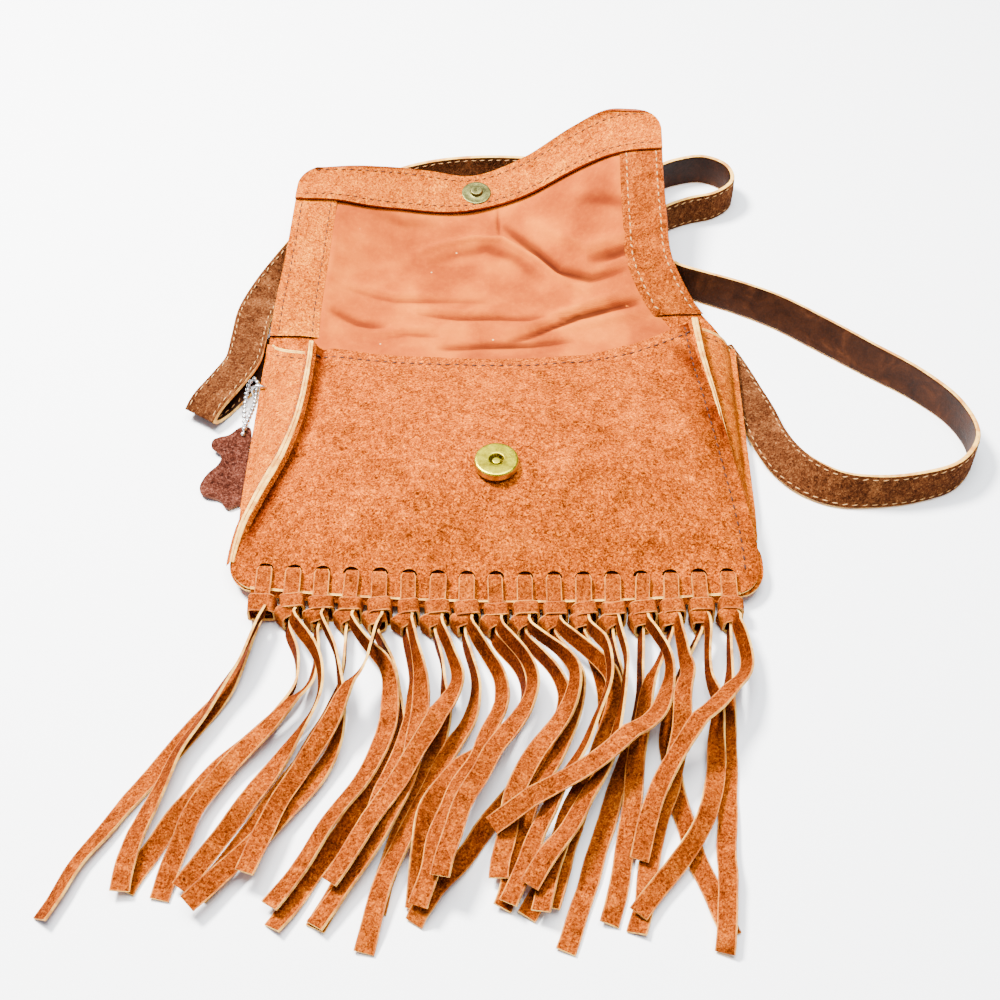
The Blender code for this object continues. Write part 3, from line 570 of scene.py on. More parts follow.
def edge_finish(name, pale, dark):
    """The hide's cut edge: pale core with fibres."""
    finish = Finish(name, 0.85, specular=0.2)
    fibres = finish.noise(0.7, 3.0, 0.7)
    colour = finish.ramp(fibres, (0.3, dark), (0.52, pale), (0.8, tuple(min(c * 1.15, 0.95) for c in pale)))
    stretches = finish.ramp(finish.noise(7.0, 3.0, 0.7), (0.42, (1, 1, 1)), (0.6, (0.62, 0.42, 0.25)))
    finish.feed("Base Color", finish.mix(colour, stretches, 1.0, "MULTIPLY"))
    finish.bump((fibres, 0.2))
    return finish.material


def cotton_finish(base, dark, light):
    """Plain cotton: a fine weave on the cloth's own UV map, a soft unevenness, a few specks of lint, and painted shade
    in the folds' valleys with a painted highlight on their ridges.
    """
    finish = Finish("Cotton lining", 0.9, specular=0.08)
    uv = finish.node("ShaderNodeTexCoord").outputs["UV"]
    weave = []
    for turn in (0.0, math.pi / 2):
        turned = finish.node("ShaderNodeMapping", {"Vector": uv}, Rotation=(0, 0, turn)).outputs["Vector"]
        wave = finish.node("ShaderNodeTexWave", {"Vector": turned}, Scale=0.62, Distortion=0.6, Detail=2.0)
        weave.append(wave.outputs["Fac"])
    threads = finish.node("ShaderNodeMath", {0: weave[0], 1: weave[1]}, operation="MULTIPLY").outputs[0]
    patches = finish.noise(26, 2.0, 0.5, 0.3)
    fine = finish.noise(2.4, 3.0, 0.6)
    colour = finish.mix(base, finish.ramp(patches, (0.36, dark), (0.5, base), (0.66, light)), 0.75)
    colour = finish.mix(colour, finish.ramp(fine, (0.3, dark), (0.55, base), (0.75, light)), 0.2)
    # Painted shade and highlight: the fold attribute darkens the valleys of the folds and lightens their ridges
    fold = finish.node("ShaderNodeAttribute", attribute_name="fold").outputs["Fac"]
    shaded = finish.ramp(fold, (0.0, (0.14, 0.09, 0.11)), (0.28, (0.5, 0.38, 0.36)), (0.46, (1, 1, 1)),
                         (0.7, (1.05, 1.1, 1.1)), (1.0, (1.25, 1.5, 1.9)))
    colour = finish.mix(colour, shaded, 1.0, "MULTIPLY")
    specks = finish.node("ShaderNodeTexVoronoi", {"Vector": finish.place}, Scale=1 / (13 * MM))
    lint = finish.ramp(specks.outputs["Distance"], (0.028, (1, 1, 1)), (0.05, (0, 0, 0)))
    colour = finish.mix(colour, (0.55, 0.33, 0.14), lint)
    finish.feed("Base Color", colour)
    finish.bump((threads, 0.05), (fine, 0.12))
    return finish.material


def smooth_leather_finish(base, dark, light):
    """Smooth waxed hide with soft clouds of colour and fine pores."""
    finish = Finish("Strap leather", 0.75, specular=0.06)
    pores = finish.noise(0.9, 4.0, 0.65)
    clouds = finish.noise(11, 4.0, 0.6, 0.8)
    colour = finish.ramp(clouds, (0.35, dark), (0.55, base), (0.75, light))
    colour = finish.mix(colour, finish.ramp(pores, (0.35, dark), (0.6, base)), 0.35)
    finish.feed("Base Color", colour)
    finish.roughness(clouds, 0.32, 0.6)
    finish.bump((pores, 0.12), (clouds, 0.3))
    return finish.material


def thread_finish(name, base, light):
    """Waxed thread with a fine twist."""
    finish = Finish(name, 0.7, specular=0.3)
    twist = finish.noise(0.5, 2.0)
    finish.feed("Base Color", finish.ramp(twist, (0.35, base), (0.7, light)))
    finish.bump((twist, 0.12))
    return finish.material


def metal_finish(name, base, dark, light, roughness):
    """Plated metal with a tarnish that darkens it in soft clouds."""
    finish = Finish(name, roughness, 1.0)
    clouds = finish.noise(4.0, 4.0, 0.6)
    streaks = finish.node("ShaderNodeMapping", {"Vector": finish.place}, Scale=(1, 6, 1)).outputs["Vector"]
    scratches = finish.noise(0.6, 2.0, 0.5, place=streaks)
    finish.feed("Base Color", finish.ramp(clouds, (0.32, dark), (0.52, base), (0.7, light)))
    finish.roughness(scratches, roughness * 0.75, roughness * 1.4)
    finish.bump((scratches, 0.03))
    return finish.material


def floor_finish():
    """A pale matt floor."""
    finish = Finish("Pale floor", 0.75, specular=0.2)
    paper = finish.ramp(finish.noise(400, 2.0), (0.3, (0.955, 0.957, 0.965)), (0.7, (0.965, 0.967, 0.972)))
    finish.feed("Base Color", paper)
    return finish.material


def own_colour(name, share=1.0):
    """One of the colours that a maker would change."""
    return tuple(value * share for value in getattr(bpy.context.scene.bag_colours, name))


# The finishes that several pieces share
FINISHES = {
    "Orange suede": lambda name: suede_finish(
        name, own_colour("suede"), own_colour("suede_dark"), own_colour("suede_light")),
    # The body's suede made darker: painted shade for the fringe's strips, also used on the flap's right band
    "Fringe suede": lambda name: suede_finish(
        name, (0.19, 0.031, 0.001), (0.05, 0.007, 0.0005), (0.42, 0.09, 0.003), patch=9.0, speckle=0.38, nap=0.8),
    "Light suede": lambda name: suede_finish(
        name, own_colour("band"), (0.13, 0.019, 0.001), (0.6, 0.16, 0.003), patch=20.0, speckle=0.4, nap=0.7),
    "Cut edge": lambda name: edge_finish(name, own_colour("cut_edge"), own_colour("cut_edge", 0.72)),
    "Worn edge": lambda name: edge_finish(name, (0.46, 0.15, 0.015), (0.22, 0.045, 0.003)),
    # Near-black cut edge: painted shade in the fringe's slots and a painted shadow line along the flap's side bands
    "Dark cut": lambda name: edge_finish(name, (0.025, 0.007, 0.003), (0.01, 0.003, 0.001)),
    "Tan edge": lambda name: edge_finish(name, (0.3, 0.07, 0.006), (0.12, 0.02, 0.002)),
    "Dark thread": lambda name: thread_finish(name, (0.02, 0.004, 0.001), (0.05, 0.01, 0.003)),
    "Tan thread": lambda name: thread_finish(name, (0.14, 0.03, 0.005), (0.3, 0.08, 0.015)),
    "Light thread": lambda name: thread_finish(name, (0.32, 0.13, 0.035), (0.55, 0.3, 0.1)),
    "Nickel plate": lambda name: metal_finish(name, (0.62, 0.62, 0.63), (0.4, 0.4, 0.4), (0.8, 0.8, 0.8), 0.25),
}


def finishes(*names):
    """Shared finishes by name, each made when it is first asked for."""
    return [bpy.data.materials.get(name) or FINISHES[name](name) for name in names]


# ---- panels


def normals_on(surface, s, t, step=0.002):
    """Unit normals of a surface, upwards, at arrays of s and t."""
    here = np.stack(surface(s, t), axis=1)
    beside = np.stack(surface(s + step, t), axis=1) - here
    along = np.stack(surface(s, t + step), axis=1) - here
    return here, unit(np.cross(beside, along))


def seam_line(surface, s, t):
    """Points and normals along a line in a surface. s and t are numbers, or pairs of a start and an end."""
    share = np.linspace(0, 1, 240)
    return normals_on(surface, *(np.interp(share, (0, 1), np.broadcast_to(ends, 2)) for ends in (s, t)))


HEM_RADIUS = 1.55
HEM_DEPTH = 9.0
HEM_SHARE = 0.9
HEM_TURN = 0.4


def front_unevenness(x, y):
    """Soft dents of the hide, in millimetres, which fade out at the seams."""
    points = np.column_stack([x, y])
    left, right = -LEFT_SEAM(y), RIGHT_SEAM(y)
    inside = ease((x - left - 3) / 14) * ease((right - x - 3) / 14) * ease((y + 78) / 12)
    valley = 1.5 * np.exp(-(((x - left - 5.2) / 2.6) ** 2)) * ease((y + 62) / 25)
    return inside * (0.7 * waves(points, 46, 11, 2) + 0.2 * waves(points, 11, 12, 2)) - valley


def handled(x, y):
    """How dark the front is painted: painted shade in the valley by the left seam, and darker at the right side, at
    the left below the middle, along the bottom and in random patches.
    """
    left, right = -LEFT_SEAM(y), RIGHT_SEAM(y)
    patchy = waves(np.column_stack([x, y]), 24, 21, 3)
    dark = 0.9 * np.exp(-(((x - left - 4.4) / 2.6) ** 2)) * ease((y + 66) / 20)
    dark = dark + 0.8 * np.exp(-(((right - x) / 17) ** 2)) * (0.6 + 0.6 * patchy) * ease((y + 40) / 50)
    dark = dark + 0.4 * np.exp(-(((right - x) / 9) ** 2))
    dark = dark + 0.35 * np.exp(-(((x - left) / 12) ** 2)) * ease((-y - 20) / 20)
    dark = dark + 0.3 * np.exp(-(((y + 80) / 9) ** 2)) + 0.4 * np.maximum(patchy - 0.15, 0)
    return np.clip(dark, 0, 1)


def front_outer(s, t):
    """The front's outer face with its dents."""
    x, y, z = front(s, t)
    return x, y, z + front_unevenness(x, y)


def front_with_hem(s, row):
    """The front's outer face, and beyond HEM_SHARE its hem, folded over and down inside."""
    flat = np.minimum(row / HEM_SHARE, 1.0)
    x, y, z = front_outer(s, flat * (1 - HEM_RADIUS / FRONT_LENGTH))
    fold = np.clip((row - HEM_SHARE) / (1 - HEM_SHARE), 0.0, 1.0)
    turn = math.pi * np.clip(fold / HEM_TURN, 0.0, 1.0)
    y = y + HEM_RADIUS * np.sin(turn)
    z = z - HEM_RADIUS * (1 - np.cos(turn))
    down = HEM_DEPTH * np.clip((fold - HEM_TURN) / (1 - HEM_TURN), 0.0, 1.0)
    return x, y - down, z + down * 0.12


def slot_cutter():
    """Half-moon holes for the fringe, through both layers of the bottom edge. Their walls take a near-black finish,
    painted shade.
    """
    bm = bmesh.new()
    for number in range(STRIP_COUNT):
        x, edge = slot_place(number)
        middle = edge + SLOT_ABOVE_EDGE - 1.0
        around = [(x + SLOT_HALF_WIDTH * math.cos(angle), middle + SLOT_RISE * math.sin(angle), 0.2)
                  for angle in (math.pi * step / 12 for step in range(13))]
        bm.faces.new([bm.verts.new(point) for point in around])
    raised = bmesh.ops.extrude_face_region(bm, geom=bm.faces[:])["geom"]
    bmesh.ops.translate(bm, vec=(0, 0, 26), verts=[v for v in raised if isinstance(v, bmesh.types.BMVert)])
    bmesh.ops.recalc_face_normals(bm, faces=bm.faces)
    return new_object("slots", mesh_of(bm, "slots", in_mm=True), *finishes("Dark cut"))


def cut_slots(made):
    """Cuts the fringe's slots through a panel, with walls darkened as painted shade."""
    tool = slot_cutter()
    hole = made.modifiers.new("Slots", "BOOLEAN")
    hole.operation = "DIFFERENCE"
    hole.object = tool
    hole.material_mode = "TRANSFER"
    baked(made)
    discard(tool)


def slot_place(number):
    x = (number - (STRIP_COUNT - 1) / 2) * STRIP_PITCH
    return x, float(bottom_y(0.5 + x / (2 * HALF_WIDTH)))


class BAG_OT_front_panel(bpy.types.Operator):
    """Makes the front panel with its folded hem and its slots"""

    bl_idname = "bag.front_panel"
    bl_label = "Front panel"

    def execute(self, context):
        mesh = grid_mesh("front", front_with_hem, 190, 150, (200, 140))
        made = new_object("front", mesh, *finishes("Orange suede", "Cut edge"))
        x, y, _ = points_of(mesh).T / MM
        # Painted shade in the valley by the left seam, and darker at the sides, along the bottom and in patches
        attribute(made, "handled", handled(x, y))
        thicken(made, SUEDE, -1)
        cut_slots(made)
        shade(made, 50)
        part_of_bag(made, "orange_suede", "front_panel")
        return {"FINISHED"}


class BAG_OT_back_panel(bpy.types.Operator):
    """Makes the back panel and the flap, which are one hide"""

    bl_idname = "bag.back_panel"
    bl_label = "Back panel and flap"

    def execute(self, context):
        mesh = grid_mesh("back", back, 110, 170, (213, 255))
        made = new_object("back", mesh, *finishes("Orange suede", "Cut edge"))
        thicken(made, SUEDE, 1)
        cut_slots(made)
        shade(made, 50)
        part_of_bag(made, "orange_suede", "back_panel_and_flap")
        return {"FINISHED"}


def gusset_surface(side):
    """The web of a side gusset, from the front's seam round to the back's edge.

    Across it, u is 0.15 at the inside of the seam, 0.25 where the web turns down, 0.85 at its foot and 1 at the
    back's edge. v runs from the mouth down to the gusset's end.
    """
    seam = LEFT_SEAM if side < 0 else RIGHT_SEAM
    top = float(MOUTH(0.0 if side < 0 else 1.0)) - 0.6
    under_front = SUEDE + 0.25 + GUSSET_SUEDE / 2
    over_back = SUEDE + 0.45 + GUSSET_SUEDE / 2

    def surface(u, v):
        y = lerp(top, GUSSET_END_Y, v)
        edge = seam(y)
        hem = edge - FLANGE
        hem_height = front_height(side * hem, y) - under_front
        edge_height = front_height(side * edge, y) - under_front
        back_y = lerp(64.0, GUSSET_END_Y, v)
        foot = HALF_WIDTH - FLANGE + 0.6
        foot_height = back_height(side * foot, back_y) + over_back + 0.3
        drop = np.minimum(2.4, 0.35 * (hem_height - foot_height))
        share = np.clip(u / 0.15, 0, 1)
        x1, z1 = lerp(edge, hem, share), lerp(edge_height, hem_height, share)
        down = np.clip((u - 0.15) / 0.1, 0, 1)
        turn = math.pi / 2 * np.clip((u - 0.25) / 0.6, 0, 1)
        x2 = lerp(hem + 0.8 * down, foot, np.sin(turn))
        z2 = lerp(hem_height - drop * down, foot_height, 1 - np.cos(turn))
        last = np.clip((u - 0.85) / 0.15, 0, 1)
        margin = back_height(side * HALF_WIDTH, back_y) + over_back + 0.6 * ease((back_y - 54) / 9)
        x3, z3 = lerp(foot + 0.8, HALF_WIDTH, last), lerp(foot_height, margin, last)
        x = np.where(u <= 0.15, x1, np.where(u <= 0.85, x2, x3))
        z = np.where(u <= 0.15, z1, np.where(u <= 0.85, z2, z3))
        y = np.where(u <= 0.25, y, lerp(y, back_y, np.where(u <= 0.85, 1 - np.cos(turn), 1.0)))
        return side * x, y, z

    return surface


class BAG_OT_gussets(bpy.types.Operator):
    """Makes the two side gussets"""

    bl_idname = "bag.gussets"
    bl_label = "Side gussets"

    def execute(self, context):
        for side, name in ((-1, "left"), (1, "right")):
            mesh = grid_mesh("gusset_" + name, gusset_surface(side), 60, 60, (60, 110))
            made = new_object("gusset_" + name, mesh, *finishes("Light suede", "Cut edge"))
            thicken(made, GUSSET_SUEDE, 0)
            part_of_bag(shade(baked(made), 60), "orange_suede", name + "_gusset")
        return {"FINISHED"}


# ---- flap


def band_lift(t):
    """How far the end band stands off the flap: most at its loose inner edge."""
    share = (t - BAND_START) / (1 - BAND_START)
    return SUEDE + LAYER_GAP * 0.5 + END_BAND_LIFT * (1 - ease(share * 1.3))


def end_band_edge(s):
    """The end band's inner edge, cut a little unevenly by hand."""
    return BAND_START + 0.006 * waves(np.column_stack([s * 180, s * 0]), 60, 5, 2) - 0.004 * np.sin(s * 9)


def end_band_surface(s, share):
    t = lerp(end_band_edge(s), 1.0, share)
    x, y, z = back(s, t)
    ripple = 0.5 * waves(np.column_stack([x, y]), 30, 6, 2) * (1 - ease(share * 1.6))
    return x, y, z + band_lift(t) + np.maximum(ripple, -0.3)


def side_band_surface(low, high):
    """A band down the flap's side, from low to high across it, that ends under the end band."""
    def surface(across, down):
        x, y, z = back(lerp(low, high, across), lerp(0.6, BAND_START + 0.01, down))
        return x, y, z + SUEDE + 0.3
    return surface


LEFT_BAND = side_band_surface(0.0, LEFT_BAND_S)
RIGHT_BAND = side_band_surface(RIGHT_BAND_S, 1.0)
SIDE_BAND = BAND * 0.75


class BAG_OT_flap_bands(bpy.types.Operator):
    """Makes the suede bands round the flap's inner face"""

    bl_idname = "bag.flap_bands"
    bl_label = "Flap bands"

    def execute(self, context):
        pieces = (
            ("end", end_band_surface, BAND, "Light suede", "Tan edge", (200, 26), (190, 22)),
            # The side bands' cut edges are near-black: a painted shadow line along them
            ("left", LEFT_BAND, SIDE_BAND, "Light suede", "Dark cut", (22, 70), (20, 80)),
            ("right", RIGHT_BAND, SIDE_BAND, "Fringe suede", "Dark cut", (22, 70), (20, 80)),
        )
        for name, surface, thickness, face, edge, squares, size in pieces:
            made = new_object("band_" + name, grid_mesh("band_" + name, surface, *squares, size),
                              *finishes(face, edge))
            thicken(made, thickness, 1)
            part_of_bag(shade(baked(made), 50), "light_suede", f"flap_{name}_band")
        return {"FINISHED"}


def crease(x, y, points, width, depth):
    """A fold along a line of (x, y) points: how deep the cloth dips at x, y."""
    line = np.array(points, float)
    nearest = np.full(len(x), 1e9)
    along = np.zeros(len(x))
    lengths = line_lengths(line)
    here = np.stack([x, y], axis=1)
    for i in range(len(line) - 1):
        step = line[i + 1] - line[i]
        u = np.clip(((here - line[i]) @ step) / (step @ step), 0, 1)
        away = np.linalg.norm(here - line[i] - u[:, None] * step, axis=1)
        closer = away < nearest
        nearest = np.where(closer, away, nearest)
        along = np.where(closer, (lengths[i] + u * np.linalg.norm(step)) / lengths[-1], along)
    fade = np.sin(math.pi * np.clip(along, 0.0, 1.0)) ** 0.6
    return depth * fade * np.exp(-(nearest / width) ** 2)


# The lining's folds, as (points, width, depth): a fold stands up where its depth is below 0
LINING_FOLDS = (
    (((-3, 160), (-2, 142)), 0.8, 1.4),
    (((-44, 128), (-30, 136), (-15, 141), (0, 139.5), (16, 125), (30, 108), (42, 99)), 1.7, -2.6),
    (((-36, 123), (-22, 131), (-8, 135), (6, 128), (20, 111)), 3.2, 1.3),
    (((0, 149), (16, 131), (27, 116), (42, 108), (60, 107)), 2.0, 3.0),
    (((40, 119), (54, 117), (70, 119)), 3.2, 2.4),
    (((10, 152), (26, 136), (40, 125), (56, 124), (70, 128)), 3.0, -2.0),
    (((48, 112), (62, 111), (74, 113)), 1.8, -1.6),
    (((-74, 103), (-50, 98), (-27, 99), (-4, 98)), 1.6, 1.2),
    (((-74, 107), (-50, 102), (-27, 103)), 2.4, -1.0),
    (((-40, 90), (-20, 87), (0, 87.5), (22, 86)), 1.3, 2.0),
    (((-44, 93.5), (-20, 91.5), (4, 91.5)), 1.8, -1.3),
    (((8, 89), (30, 87.5), (50, 90), (66, 92)), 1.4, 1.6),
    (((3, 71), (12, 75), (24, 82), (38, 89), (52, 92), (64, 90)), 1.6, 3.4),
    (((-2, 77), (12, 82), (26, 89), (40, 95), (60, 97)), 2.4, -2.0),
    (((20, 77), (36, 82), (52, 86), (70, 86)), 2.2, -1.4),
    (((-80, 88), (-66, 82), (-52, 80)), 2.2, 1.6),
    (((-56, 73), (-44, 76), (-28, 75)), 1.5, 1.4),
    (((-80, 78), (-60, 76), (-34, 80), (-6, 79)), 3.0, -1.2),
    (((-30, 66), (-10, 68.5), (14, 69.5), (34, 73)), 1.6, 2.6),
    (((-78, 137), (-60, 130), (-46, 119)), 4.5, -0.9),
    (((-70, 150), (-48, 146), (-30, 149)), 3.4, 0.9),
    (((34, 152), (48, 147), (62, 138)), 3.4, 1.2),
)
LINING_TURN = 0.17
LINING_ON_BACK = 0.62
LINING_AT_BOTTOM = 0.68


def lining_folds(x, y):
    folds = np.zeros(len(x))
    for points, width, depth in LINING_FOLDS:
        folds = folds - crease(x, y, points, width, depth)
    return folds


def lining_surface(s_share, row):
    """Down the flap and the inside of the back, round the bottom and up inside the front."""
    s = lerp(LEFT_BAND_S - 0.012, RIGHT_BAND_S + 0.012, s_share)
    t = lerp(BAND_START + 0.006, LINING_TURN, np.clip(row / LINING_ON_BACK, 0, 1))
    x, y, z = back(s, t)
    x = x * lerp(1, 0.84, ease((52 - y) / 20))
    z = np.where(y < FLAP_RISE_Y, back_height(x, y), z) + SUEDE + 0.25
    folds = lining_folds(x, y) + 0.35 * waves(np.stack([x, y], axis=1), 40, 41, 2) + 1.1
    under_bands = ease(s_share / 0.03) * ease((1 - s_share) / 0.03) * ease(row / 0.03)
    shown = under_bands * ease((y - 20) / 25)
    z = z + shown * np.maximum(folds * 0.85 + 0.6, 0.0)
    step = np.clip((row - LINING_ON_BACK) / (LINING_AT_BOTTOM - LINING_ON_BACK), 0, 1)
    turn = math.pi * step
    z_top = front_height(x, y) - SUEDE - 4.2
    bottom_z = lerp(z, z_top, (1 - np.cos(turn)) / 2)
    bottom_y_line = y - 4.0 * np.sin(turn)
    up = np.clip((row - LINING_AT_BOTTOM) / (1 - LINING_AT_BOTTOM), 0, 1)
    top_y = lerp(y, MOUTH(s) - 4, up)
    top_z = front_height(x, top_y) - SUEDE - 4.2 + 1.6 * ease((up - 0.8) / 0.2)
    y = np.where(row <= LINING_ON_BACK, y, np.where(row <= LINING_AT_BOTTOM, bottom_y_line, top_y))
    z = np.where(row <= LINING_ON_BACK, z, np.where(row <= LINING_AT_BOTTOM, bottom_z, top_z))
    return x, y, z


class BAG_OT_lining(bpy.types.Operator):
    """Makes the cotton lining with its folds"""

    bl_idname = "bag.lining"
    bl_label = "Cotton lining"

    def execute(self, context):
        cotton = cotton_finish(own_colour("cotton"), (0.2, 0.027, 0.0008), (0.54, 0.125, 0.0015))
        made = new_object("lining_cloth", grid_mesh("lining_cloth", lining_surface, 150, 240, (165, 295)), cotton)
        x, y, _ = points_of(made.data).T / MM
        # The fold depth that drives the cotton's painted shade and highlight
        attribute(made, "fold", 0.45 + 0.16 * lining_folds(x, y))
        thicken(made, LINING, 1, rim=0)
        part_of_bag(shade(baked(made), 80), "cotton", "lining")
        return {"FINISHED"}


# ---- seams


def sewn_beads(lines, width):
    """Stitches along lines of (points, normals)."""
    own = bpy.context.scene.bag_sizes
    rows = []
    for number, (points, normals) in enumerate(lines):
        rows += stitch_row(points, normals, own.stitch_pitch, own.stitch_length, width, 0.3, number + 3)
    return rows


# Across and up the raw seam, as shares of its width and of its height: two cut edges with a slit between
RAW_PROFILE = (
    (-0.5, -2.2, -0.9), (-0.5, -0.6, -0.2), (-0.5, -0.25, 0.0), (-0.4, 0.0, 0.0), (-0.07, 0.0, 0.0),
    (-0.03, -0.45, 0.0), (0.03, -0.45, 0.0), (0.07, 0.0, 0.0), (0.4, 0.0, 0.0), (0.5, -0.25, 0.0),
    (0.5, -1.4, 0.7), (0.5, -3.2, 2.6),
)
RAW_PALE = range(2, 9)
# Each side's raw seam: its place across the front, where it starts and ends, how many points it has, which way
# it faces and leans, and its width and height along y
RAW_SEAMS = (
    ("raw_left", 0.002, (0.992, 0.09), 200, (-1.0, 0.12, 0.0), 0.25,
     ((-70, -52, -24, 4, 56), (1.3, 2.6, 3.6, 2.4, 1.9)), ((-70, -55, -20, 40, 57), (0.3, 1.0, 1.5, 1.3, 0.9))),
    ("raw_right", 0.999, (0.99, 0.3), 120, (1.0, 0.1, 0.0), 0.35,
     ((-40, 0, 20, 50, 70), (0.9, 0.9, 1.6, 2.6, 2.9)), ((-40, 10, 70), (-0.4, -0.1, 0.5))),
)


def raw_edge(name, points, facing, width, height, lean=0.0):
    """The raw flange of a seam, swept along points, leaning the way it faces. Width and height may change."""
    outward = np.tile(facing, (len(points), 1))
    width, height = (np.broadcast_to(size, len(points)) for size in (width, height))
    ups = unit(np.tile((0.0, 0.0, 1.0), (len(points), 1)) + outward * lean)
    rough = 0.12 * waves(points, 6, 31, 3)
    rows = []
    for share, below, out in RAW_PROFILE:
        rows.append(points + outward * (share * width + out + rough)[:, None] + ups * (height + below)[:, None])
    grid = np.stack(rows, axis=1)
    columns = len(RAW_PROFILE) - 1

    def surface(s, t):
        i = np.round(t * (len(points) - 1)).astype(int)
        j = np.round(s * columns).astype(int)
        return tuple(grid[i, j].T)

    mesh = grid_mesh(name, surface, columns, len(points) - 1, (10, 100))
    made = new_object(name, mesh, *finishes("Orange suede", "Cut edge"))
    for face in mesh.polygons:
        face.material_index = int(face.index % columns in RAW_PALE)
    part_of_bag(shade(made, 60), "orange_suede")


class BAG_OT_raw_seams(bpy.types.Operator):
    """Makes the raw edges of the side seams and the bottom, and the gussets' top hems"""

    bl_idname = "bag.raw_seams"
    bl_label = "Raw seams"

    def execute(self, context):
        for name, across, ends, count, facing, lean, widths, heights in RAW_SEAMS:
            points = np.stack(front_outer(np.full(count, across), np.linspace(*ends, count)), axis=1)
            width, height = (np.interp(points[:, 1], *sizes) for sizes in (widths, heights))
            raw_edge(name, points, facing, width, height, lean)
            if name == "raw_left":
                line = points + np.outer(width / 2 + 1.2, facing) + np.outer(height - 1.9, (0, 0, 1))
                sewn_up = line[4:150], np.tile((-0.75, 0.0, 0.66), (146, 1))
                rows = sewn_beads([sewn_up], width=0.6)
                part_of_bag(stitches("stitches_raw_left", rows, "Tan thread"), "orange_suede")
        points = np.stack(front_outer(np.linspace(0.004, 0.996, 300), np.full(300, 0.006)), axis=1)
        raw_edge("raw_bottom", points, (0.0, -1.0, 0.0), 1.5, 0.1, 0.5)
        for side, name in ((-1, "left"), (1, "right")):
            points, _ = normals_on(gusset_surface(side), np.linspace(0.3, 0.86, 60), np.zeros(60), step=0.004)
            raw_edge("hem_" + name, points - (0, 0.9, 0), (0.0, 1.0, 0.0), 1.7, 1.0)
        return {"FINISHED"}


class BAG_OT_seams(bpy.types.Operator):
    """Makes the stitches of the panels, gussets and bands"""

    bl_idname = "bag.seams"
    bl_label = "Seams"

    def execute(self, context):
        along = np.linspace(0.012, 0.988, 260)
        hem = normals_on(front_outer, along, np.full(260, 1 - (HEM_RADIUS + 5.0) / FRONT_LENGTH))
        side = np.full(160, 1 - 5.2 / FRONT_WIDTH), np.linspace(0.075, 0.985, 160)
        rows = sewn_beads([hem, normals_on(front_outer, *side)], width=0.85)
        part_of_bag(stitches("stitches_front", rows, "Dark thread"), "orange_suede")
        rows = []
        for side in (-1, 1):
            u = np.linspace(0.2, 0.84, 80)
            points, normals = normals_on(gusset_surface(side), u, np.full(80, 0.05), step=0.004)
            normals *= np.sign(normals[:, 2:3])
            rows += sewn_beads([(points + normals * GUSSET_SUEDE / 2, normals)], width=0.7)
        part_of_bag(stitches("stitches_gussets", rows, "Dark thread"), "orange_suede")
        dark = ((end_band_surface, BAND, (0.018, 0.982), 0.86), (end_band_surface, BAND, (0.02, 0.98), 0.13),
                (LEFT_BAND, SIDE_BAND, 0.17, (0.02, 0.96)), (LEFT_BAND, SIDE_BAND, 0.86, (0.02, 0.96)))
        light = ((RIGHT_BAND, SIDE_BAND, 0.16, (0.02, 0.96)), (RIGHT_BAND, SIDE_BAND, 0.86, (0.02, 0.96)))
        for name, thread, width, seams in (("stitches_bands", "Dark thread", 0.6, dark),
                                           ("stitches_right_band", "Light thread", 0.8, light)):
            lines = []
            for surface, thickness, s, t in seams:
                points, normals = seam_line(surface, s, t)
                lines.append((points + normals * thickness, normals))
            part_of_bag(stitches(name, sewn_beads(lines, width=width), thread), "light_suede")
        return {"FINISHED"}


# ---- snap


def turned(name, profile, centre, axis, finish, steps=64, degrees=35):
    """A piece turned from a profile of (radius, height) about an axis."""
    bm = bmesh.new()
    rim = [bm.verts.new((radius, 0, height)) for radius, height in profile]
    for first, second in zip(rim, rim[1:]):
        bm.edges.new((first, second))
    bmesh.ops.spin(bm, geom=bm.verts[:] + bm.edges[:], cent=(0, 0, 0), axis=(0, 0, 1), angle=math.tau,
                   steps=steps, use_merge=True)
    bmesh.ops.remove_doubles(bm, verts=bm.verts, dist=0.001)
    bmesh.ops.recalc_face_normals(bm, faces=bm.faces)
    turn = Vector((0, 0, 1)).rotation_difference(Vector(axis)).to_matrix()
    bmesh.ops.rotate(bm, cent=(0, 0, 0), matrix=turn, verts=bm.verts)
    bmesh.ops.translate(bm, vec=centre, verts=bm.verts)
    return shade(new_object(name, mesh_of(bm, name, in_mm=True), finish), degrees)


def arc(centre, radius, start, end, steps=6):
    """Points of (radius, height) on an arc, in degrees."""
    angles = [math.radians(lerp(start, end, i / steps)) for i in range(steps + 1)]
    return [(centre[0] + radius * math.cos(a), centre[1] + radius * math.sin(a)) for a in angles]


